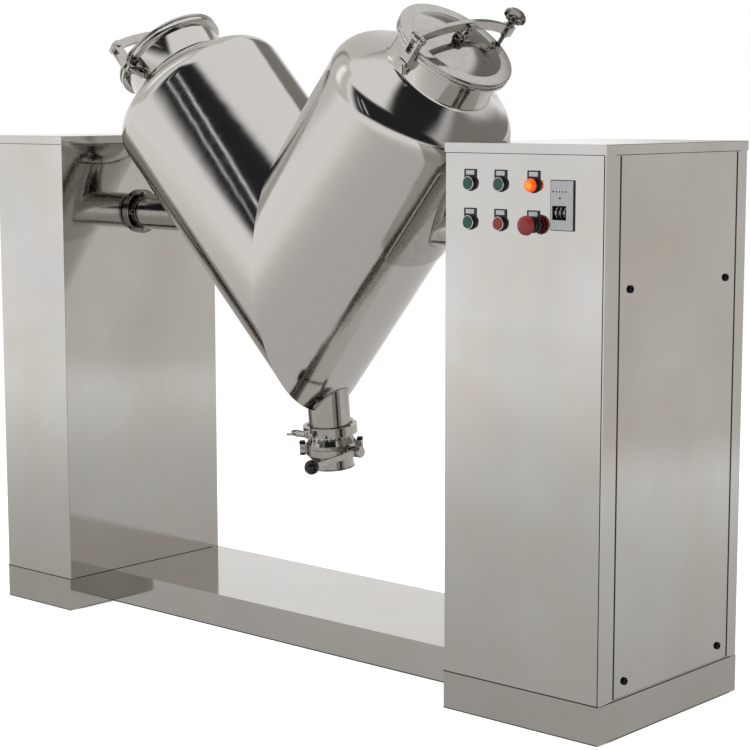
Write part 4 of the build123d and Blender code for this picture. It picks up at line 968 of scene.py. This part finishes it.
for side_name, side in SIDES.items():
    arm = arm_matrix(side)
    on_edge = arm @ ON_EDGE
    bm = bmesh.new()
    plate_pair(bm, bracket_ear, BRACKET_INSIDE, BRACKET_THICK, on_edge)
    for tie in (FLOOR_PLATE, BACK_PLATE):
        slab(bm, tie, -TIE_HALF, TIE_HALF, on_edge)
    strut = arm @ Matrix.Translation(STRUT_PLACE) @ turn(STRUT_LEAN, "X")
    round_bar(bm, STRUT_RADIUS, STRUT_LOW, STRUT_HIGH, strut)
    hinge = arm @ Matrix.Translation((0, HINGE_Y, HINGE_Z)) @ ACROSS
    headed_pin(bm, hinge, PIN_RADIUS, PIN_REACH, PIN_HEAD_RADIUS, PIN_HEAD_LOW, PIN_HEAD_HIGH)
    slab(bm, lug, LUG_LOW, LUG_HIGH, arm)
    plate_pair(bm, gusset, GUSSET_INSIDE, GUSSET_THICK, on_edge)
    finished_piece(
        f"{side_name}_hinge_and_lug", outward_faces(bm), polished_and_shaded, "tank", "fitting_steel",
        f"{side_name}_lid_brackets", edge=0.0005,
    )

# Lid knobs: a clamp bolt with a T-shaped foot under the lug, a nut above the block, and a lobed
# stainless hand knob, cast and then polished, so that its skin is still a little grainy.
KNOB_LOBES = 6
KNOB_STEPS = 96
KNOB_RADIUS = 0.026
LOBE_DEPTH = 0.3
STUD_RADIUS = 0.005
STUD_LOW, STUD_HIGH = 0.646, 0.760
COLLAR_RADIUS = 0.008
COLLAR_LOW, COLLAR_HIGH = BLOCK_LOW - 0.005, BLOCK_LOW - 0.0004
NUT_LOW, NUT_HIGH = BLOCK_TOP + 0.0003, 0.757
TEE_FOOT = rectangle((STUD_Y - 0.014, 0.6452), (STUD_Y + 0.014, 0.6532))
TEE_HALF = 0.0055
stud_outline = [
    (0, STUD_LOW), (STUD_RADIUS, STUD_LOW), (STUD_RADIUS, COLLAR_LOW), (COLLAR_RADIUS, COLLAR_LOW),
    (COLLAR_RADIUS, COLLAR_HIGH), (STUD_RADIUS, COLLAR_HIGH), (STUD_RADIUS, STUD_HIGH), (0, STUD_HIGH),
]
nut_outline = [(0, NUT_LOW), (0.009, NUT_LOW), (0.009, 0.752), (0.012, NUT_HIGH), (0, NUT_HIGH)]
knob_outline = [
    (0.012, 0.7555), (0.021, 0.7565), (0.0245, 0.7585), (KNOB_RADIUS, 0.762), (KNOB_RADIUS, 0.767),
    (0.0245, 0.7705), (0.0215, 0.774), (0.0175, 0.7762), (0.012, 0.7776), (0.005, 0.778),
]


def lobed(bm, outline, place):
    """A knob turned from (radius, height) points, with hollows pressed into its rim."""
    rings = []
    for radius, height in outline:
        points = []
        for n, (x, y) in enumerate(round_points(radius, KNOB_STEPS)):
            hollow = max(0.0, math.cos(KNOB_LOBES * 2 * math.pi * n / KNOB_STEPS)) ** 1.5
            kept = 1 - LOBE_DEPTH * hollow * min(1.0, (radius / KNOB_RADIUS) ** 4)
            points.append((x * kept, y * kept, height))
        rings.append(ring_of(bm, points, place))
    join_rings(bm, rings)
    bm.faces.new(rings[0][::-1])
    bm.faces.new(rings[-1])


cast_knob = worked_surface(
    "cast_polished_knob", "7f7c78", "9b9893", (0.1, 0.22), 4, metallic=1.0, relief=0.15,
)
for side_name, side in SIDES.items():
    arm = arm_matrix(side)
    stud = arm @ Matrix.Translation((0, STUD_Y, 0))
    bm = bmesh.new()
    slab(bm, TEE_FOOT, -TEE_HALF, TEE_HALF, arm @ ON_EDGE)
    turned_shape(bm, stud_outline, 32, stud)
    turned_shape(bm, nut_outline, 32, stud)
    lobed(bm, knob_outline, stud)
    finished_piece(
        f"{side_name}_clamp_knob", outward_faces(bm), cast_knob, f"knob_{side_name}", "fitting_steel",
        f"{side_name}_lid_knob", sharp=42.0,
    )

# Outlet: a short tube under the V with a clamp ferrule, held to the valve by a two-part clamp ring.
# Rolled tube and pressed ring, polished. The clamp bolt's wing nut is a small casting.
refinished("outlet_pipe", "outlet_tube", polished_and_shaded, "tank", "polished_steel", 0.0003)
refinished("clamp_ring", "outlet_clamp", polished_and_shaded, "tank", "fitting_steel", 0.0006)
refinished("clamp_wing_nut", "wing_nut", polished_and_shaded, "wing_nut", "fitting_steel", 0.0006)

# Butterfly valve: a split cast body with a turned outside, a disc on a stem, and a flat lever with a
# ball of black phenolic, glossy from its mould. Two socket-head bolts of blackened steel, dull and
# slightly mottled, hold the halves. The seat and the lids' gaskets are white silicone, matt and soft.
refinished("valve_halves", "valve_body", polished_and_shaded, "tank", "fitting_steel", 0.0006)
refinished("valve_plate", "valve_disc", polished_and_shaded, "valve", "fitting_steel", 0.0004)
refinished("valve_handle", "valve_lever", polished_and_shaded, "valve", "fitting_steel", 0.0008)
blackened = worked_surface(
    "blackened_steel_bolts", "17181a", "26282b", (0.28, 0.42), 1.5, metallic=1.0, relief=0.05,
)
refinished("valve_body_bolts", "valve_bolts", blackened, "tank", "black_steel", 0.0005)
phenolic = worked_surface("black_phenolic_ball", "0b0b0c", "161617", (0.1, 0.2), 2.5, relief=0.02)
refinished("handle_ball", "lever_ball", phenolic, "valve", "black_gloss", 0.0004)
silicone = worked_surface("white_silicone_seals", "cfcec9", "dcdbd6", (0.45, 0.6), 4)
dress(silicone, "seals")

# Push buttons, lamp and stop button: 22 mm operators with a black body of moulded thermoplastic, finely
# grained, behind a thin satin-chromed ring. A black tab above each one holds a blank silvery label.
CABINET_FRONT = -0.260
COLUMNS = (0.067, 0.145, 0.228)
ROWS = (1.118, 1.039)
CONTROLS = [(DRIVE_WALL + column, row) for row in ROWS for column in COLUMNS]
LAMP, STOP = CONTROLS[2], CONTROLS[5]
RING_LIFT = 0.0093
LABEL_LIFT = 0.00145
LABEL_RISE = 0.02175
FACING_FRONT = (math.pi / 2, 0, 0)
moulding = worked_surface("black_moulded_thermoplastic", "0f0f10", "1c1c1e", (0.32, 0.48), 0.8, relief=0.03)
refinished("operator_bodies", "button_bodies", moulding, "frame", "black_moulding", 0.0004)
refinished("legend_tabs", "legend_plates", moulding, "frame", "black_moulding", 0.0003)

ring_tree, given = node_tree("bezel_rings", "Ring Radius", "Ring Width", "Ring Depth")
circle = add(ring_tree, "GeometryNodeCurvePrimitiveCircle", Resolution=64, Radius=given["Ring Radius"])
profile = add(
    ring_tree, "GeometryNodeCurvePrimitiveQuadrilateral", Width=given["Ring Width"],
    Height=given["Ring Depth"],
)
profile = add(ring_tree, "GeometryNodeFilletCurve", {"mode": "POLY"}, Curve=profile, Radius=0.0006, Count=3)
ring = add(ring_tree, "GeometryNodeCurveToMesh", Curve=circle, Profile_Curve=profile)
chromed = worked_surface("satin_chromed_ring", "b6b8b9", "d0d2d3", (0.18, 0.28), 1.0, metallic=1.0)
set_out(ring_tree, given, ring, FACING_FRONT, chromed)
grown_piece(
    "bezel_rings", [(x, CABINET_FRONT - RING_LIFT, z) for x, z in CONTROLS if (x, z) not in (LAMP, STOP)], [],
    ring_tree, {"Ring Radius": 0.0131, "Ring Width": 0.0019, "Ring Depth": 0.0018}, "frame", "fitting_steel",
)

label_tree, given = node_tree("label_inserts", "Label Width", "Label Height", "Label Thickness")
outline = add(
    label_tree, "GeometryNodeCurvePrimitiveQuadrilateral", Width=given["Label Width"],
    Height=given["Label Height"],
)
outline = add(label_tree, "GeometryNodeFilletCurve", {"mode": "POLY"}, Curve=outline, Radius=0.0008, Count=3)
sheet = add(label_tree, "GeometryNodeFillCurve", {"mode": "NGONS"}, Curve=outline)
thick = add(label_tree, "GeometryNodeExtrudeMesh", Mesh=sheet, Offset_Scale=given["Label Thickness"])
back = add(label_tree, "GeometryNodeFlipFaces", Mesh=sheet)
label = add(label_tree, "GeometryNodeJoinGeometry")
for part in (thick, back):
    label_tree.links.new(part.outputs[0], label.inputs[0])
label = add(label_tree, "GeometryNodeMergeByDistance", Geometry=label, Distance=0.00001)
label_foil = worked_surface("silver_printed_label", "a9aaac", "bcbdbf", (0.35, 0.5), 3, metallic=0.3)
set_out(label_tree, given, label, FACING_FRONT, label_foil)
grown_piece(
    "blank_labels", [(x, CABINET_FRONT - LABEL_LIFT, z + LABEL_RISE) for x, z in CONTROLS], [], label_tree,
    {"Label Width": 0.0214, "Label Height": 0.0090, "Label Thickness": 0.0008}, "frame", "device_grey",
)

# The caps are moulded from dyed plastic: an even colour with a soft gloss.
green = worked_surface("green_dyed_moulding", "0a3b2d", "104b3a", (0.22, 0.34), 6, relief=0.03)
for number in (1, 2, 3):
    name = f"green_button_{number}"
    refinished(f"{name}_cap", name, green, name, "green_moulding", 0.0005)
red = worked_surface("red_dyed_moulding", "701c1b", "862726", (0.24, 0.36), 6, relief=0.03)
refinished("red_button_cap", "red_button", red, "red_button", "red_moulding", 0.0005)
refinished("stop_mushroom", "stop_cap", red, "stop_cap", "red_moulding", 0.0006)
refinished("stop_stem_bar", "stop_stem", moulding, "stop_stem", "black_moulding", 0.0004)

# Lamp lens: clear orange plastic, moulded with fine ribs and screwed over the bulb. The lamp is lit, so
# the lens glows, and most of all over its bulb.
BULB_RADIUS = 0.0035
LENS_RADIUS = 0.0125
RIB_STEP = 1 / 700
lit_lens, tree = blank_material("lit_orange_lens")
here = add(tree, "ShaderNodeTexCoord")
centred = add(
    tree, "ShaderNodeMapping", Vector=here.outputs["Object"], Location=(-LAMP[0], 0, -LAMP[1]),
)
flat = add(tree, "ShaderNodeVectorMath", {"operation": "MULTIPLY"}, i0=centred, i1=(1, 0, 1))
from_bulb = add(tree, "ShaderNodeVectorMath", {"operation": "LENGTH"}, i0=flat)
fade = add(
    tree, "ShaderNodeMapRange", {"interpolation_type": "SMOOTHSTEP"}, Value=from_bulb.outputs["Value"],
    From_Min=BULB_RADIUS, From_Max=LENS_RADIUS,
)
tint = add(
    tree, "ShaderNodeMix", {"data_type": "RGBA"}, i0=fade, i6=linear("ffab1c"), i7=linear("e0400c"),
)
ribs = add(tree, "ShaderNodeTexNoise", Vector=place_vector(tree), Scale=1 / RIB_STEP)
gloss = add(tree, "ShaderNodeMapRange", Value=ribs, To_Min=0.08, To_Max=0.16)
skin = add(
    tree, "ShaderNodeBsdfPrincipled", Base_Color=linear("c0390a"), Roughness=gloss,
    Emission_Color=tint.outputs[2], Emission_Strength=0.85,
)
add(tree, "ShaderNodeOutputMaterial", Surface=skin)
refinished("lamp_lens", "pilot_lens", lit_lens, "frame", "orange_lens", sharp=50.0)

# Timer: a flush black case with a matt grey printed face, one lamp, a row of small marks, and a window
# over three digit wheels. The wheels are black mouldings with white numerals on ten flats.
refinished("timer_housing", "timer_case", moulding, "frame", "black_moulding", 0.0004)
FACE_LOW, FACE_HIGH = (0.8125, 1.0315), (0.8660, 1.1285)
WINDOW_LOW, WINDOW_HIGH = (0.8160, 1.0510), (0.8500, 1.0790)
FACE_FRONT = CABINET_FRONT - 0.0036
FACE_BACK = CABINET_FRONT - 0.0029
bm = bmesh.new()
face_front, window_front, face_back, window_back = [
    ring_of(bm, [(x, y, z) for x, z in corners])
    for y in (FACE_FRONT, FACE_BACK)
    for corners in (rectangle(FACE_LOW, FACE_HIGH), rectangle(WINDOW_LOW, WINDOW_HIGH))
]
join_rings(bm, [face_front, window_front, window_back, face_back, face_front])
grey_face = worked_surface("grey_printed_face", "999a9c", "a7a8aa", (0.4, 0.55), 1.5, relief=0.01)
finished_piece("timer_face", outward_faces(bm), grey_face, "frame", "device_grey", edge=0.0002)

mark_tree, given = node_tree("timer_marks", "Mark Radius", "Mark Height")
mark = add(
    mark_tree, "GeometryNodeMeshCylinder", Vertices=20, Radius=given["Mark Radius"],
    Depth=given["Mark Height"],
)
ink = worked_surface("black_printed_ink", "050505", "0a0a0b", (0.6, 0.75), 3)
set_out(mark_tree, given, mark, FACING_FRONT, ink)
MARK_ROW = [(0.8180 + 0.0078 * n, FACE_FRONT, 1.1070) for n in range(5)]
TIMER_LAMP = [(0.8345, FACE_FRONT, 1.0945)]
for name, spots, radius, height in (
    ("timer_row_of_marks", MARK_ROW, 0.0016, 0.0004), ("timer_lamp", TIMER_LAMP, 0.0021, 0.0010),
):
    grown_piece(
        name, spots, [], mark_tree, {"Mark Radius": radius, "Mark Height": height}, "frame", "black_moulding",
    )

WHEEL_X = DRIVE_WALL + 0.293
WHEEL_PITCH = 0.010
WHEEL_Y = CABINET_FRONT + 0.0116
WHEEL_Z = 1.065
WHEEL_FLAT = 0.013 * math.cos(math.radians(18))
NUMERAL_HEIGHT = 0.0092
NUMERAL_SQUEEZE = 0.72
INK_THICK = 0.00005
INK_SINK = 0.00003
white_ink = worked_surface("white_numeral_ink", "c9cac8", "d6d7d5", (0.4, 0.5), 1.0)
for number in (1, 2, 3):
    name = f"timer_wheel_{number}"
    refinished(f"{name}_rim", name, moulding, name, "white_moulding", 0.0003)
    bm = bmesh.new()
    middle = (WHEEL_X + (number - 2) * WHEEL_PITCH, WHEEL_Y, WHEEL_Z)
    for digit in range(10):
        text = bpy.data.curves.new(f"numeral_{digit}", "FONT")
        text.body = str(digit)
        text.size = NUMERAL_HEIGHT
        text.align_x = "CENTER"
        text.align_y = "CENTER"
        text.extrude = INK_THICK
        holder = stand(f"numeral_{digit}", text)
        numeral = bpy.data.meshes.new_from_object(
            holder.evaluated_get(bpy.context.evaluated_depsgraph_get())
        )
        flat = Matrix.Translation((0, -WHEEL_FLAT - INK_SINK, 0)) @ turn(90, "X")
        place = Matrix.Translation(middle) @ turn(36 * digit, "X") @ flat
        numeral.transform(place @ Matrix.Diagonal((NUMERAL_SQUEEZE, 1, 1, 1)))
        bm.from_mesh(numeral)
        bpy.data.objects.remove(holder)
        bpy.data.curves.remove(text)
        bpy.data.meshes.remove(numeral)
    finished_piece(f"{name}_numerals", bm, white_ink, name, "white_moulding")

# Painted shadow lines: dull black strips, drawn like rubber edging and sealant, stand for the shade in
# the gap round the access door, in the cabinet's front corner, under each top and in the plinths'
# groove, and for the contact shadow on the floor. Their width wanders a little.
DOOR_SIDE = 0.9400
DOOR_FRONT_GAP = CABINET_FRONT + 0.0520
DOOR_BACK_GAP = 0.2200
DOOR_LOW_GAP = 0.0860
DOOR_HIGH_GAP = 1.1775
TOP_SHADOW_HEIGHT = 1.1794
PLINTH_TOP = 0.0830
GROOVE_HEIGHT = 0.0818
FLOOR_SHADOW_HEIGHT = 0.0014
FLOOR_SHADOW_RADIUS = 0.0011
SHADOW_LINE_STEP = 0.05
BEAM_FRONT = -0.1205
# Dull black, as painted shadow in gaps and grooves and at the floor.
painted_shadow_black = worked_surface("black_painted_shadow_line", "0d0d0e", "1a1a1b", (0.5, 0.7), 8, relief=0.1)
shadow_line_tree = line_tree("painted_shadow_line", 7, 8, painted_shadow_black)


def strip(name, points, radius, most=1.2):
    """A painted shadow line from one point to another, or round four corners."""
    laid_line(name, points, shadow_line_tree, radius, SHADOW_LINE_STEP, 0.85, most, "frame", "seal_rubber")


for place, y in (("front", DOOR_FRONT_GAP), ("back", DOOR_BACK_GAP)):
    strip(f"door_gap_shadow_{place}", [(DOOR_SIDE, y, DOOR_LOW_GAP), (DOOR_SIDE, y, DOOR_HIGH_GAP)], 0.0016, 1.1)
corner_ends = [(DOOR_SIDE - 0.0024, CABINET_FRONT, z) for z in (PLINTH_TOP, TOP_SHADOW_HEIGHT)]
strip("corner_shadow_line", corner_ends, 0.0011, 1.15)
for side_name, inner, outer in (("left", -DOOR_SIDE, IDLE_WALL), ("right", DRIVE_WALL, DOOR_SIDE)):
    corners = rectangle((inner, CABINET_FRONT), (outer, -CABINET_FRONT))
    for name, height, radius in (
        ("top_shadow_line", TOP_SHADOW_HEIGHT, 0.0008), ("plinth_groove_shadow", GROOVE_HEIGHT, 0.0014),
        ("floor_contact_shadow", FLOOR_SHADOW_HEIGHT, FLOOR_SHADOW_RADIUS),
    ):
        strip(f"{side_name}_{name}", [(x, y, height) for x, y in corners], radius)
beam_ends = [(x, BEAM_FRONT, FLOOR_SHADOW_HEIGHT) for x in (IDLE_WALL, DRIVE_WALL)]
strip("beam_floor_contact_shadow", beam_ends, FLOOR_SHADOW_RADIUS)

# Door screws: socket-head screws of blackened steel in the access door's four corners. They go into
# the return that the cabinet's sheet has behind the door.
refinished("black_door_screws", "door_screws", blackened, "frame", "black_steel", 0.0004)

# Base frame and posts, behind the cladding: square tube, welded and sprayed with grey primer, which
# looks flat and a little cloudy.
primer = worked_surface("grey_primed_tube", "3c4044", "4b4f53", (0.5, 0.7), 25, relief=0.2)
dress(primer, "base_frame", "support_posts")

# Bearings behind the walls: sand-cast housings painted grey, with a rough skin, ground inserts, and
# the reducer's bronze output sleeve, which is turned and warm in colour.
casting = worked_surface("painted_grey_casting", "494c4e", "5a5d5f", (0.45, 0.65), 6, relief=0.4)
dress(casting, "bearing_housings")
dress(turned_and_shaded, "bearing_inserts")
bronze = worked_surface(
    "machined_bronze", "8f6d3c", "a9854c", (0.22, 0.36), 2, metallic=1.0, stretch=(6, 1, 1),
)
dress(bronze, "output_sleeve")

# Drive: a worm reducer and its finned motor in cast iron, bolted together and sprayed with blue
# machine enamel, which keeps a slight orange peel.
enamel = worked_surface("blue_machine_enamel", "1c3350", "26436a", (0.3, 0.45), 9, relief=0.25)
dress(enamel, "reducer_housing", "motor")

# Electrical plate: a zinc-plated back plate with grey moulded devices clipped on rails. One dull grey
# serves for both, because nothing shows it.
devices = worked_surface("zinc_plate_and_grey_devices", "85888a", "9ea1a2", (0.35, 0.55), 12)
dress(devices, "electrical_plate")
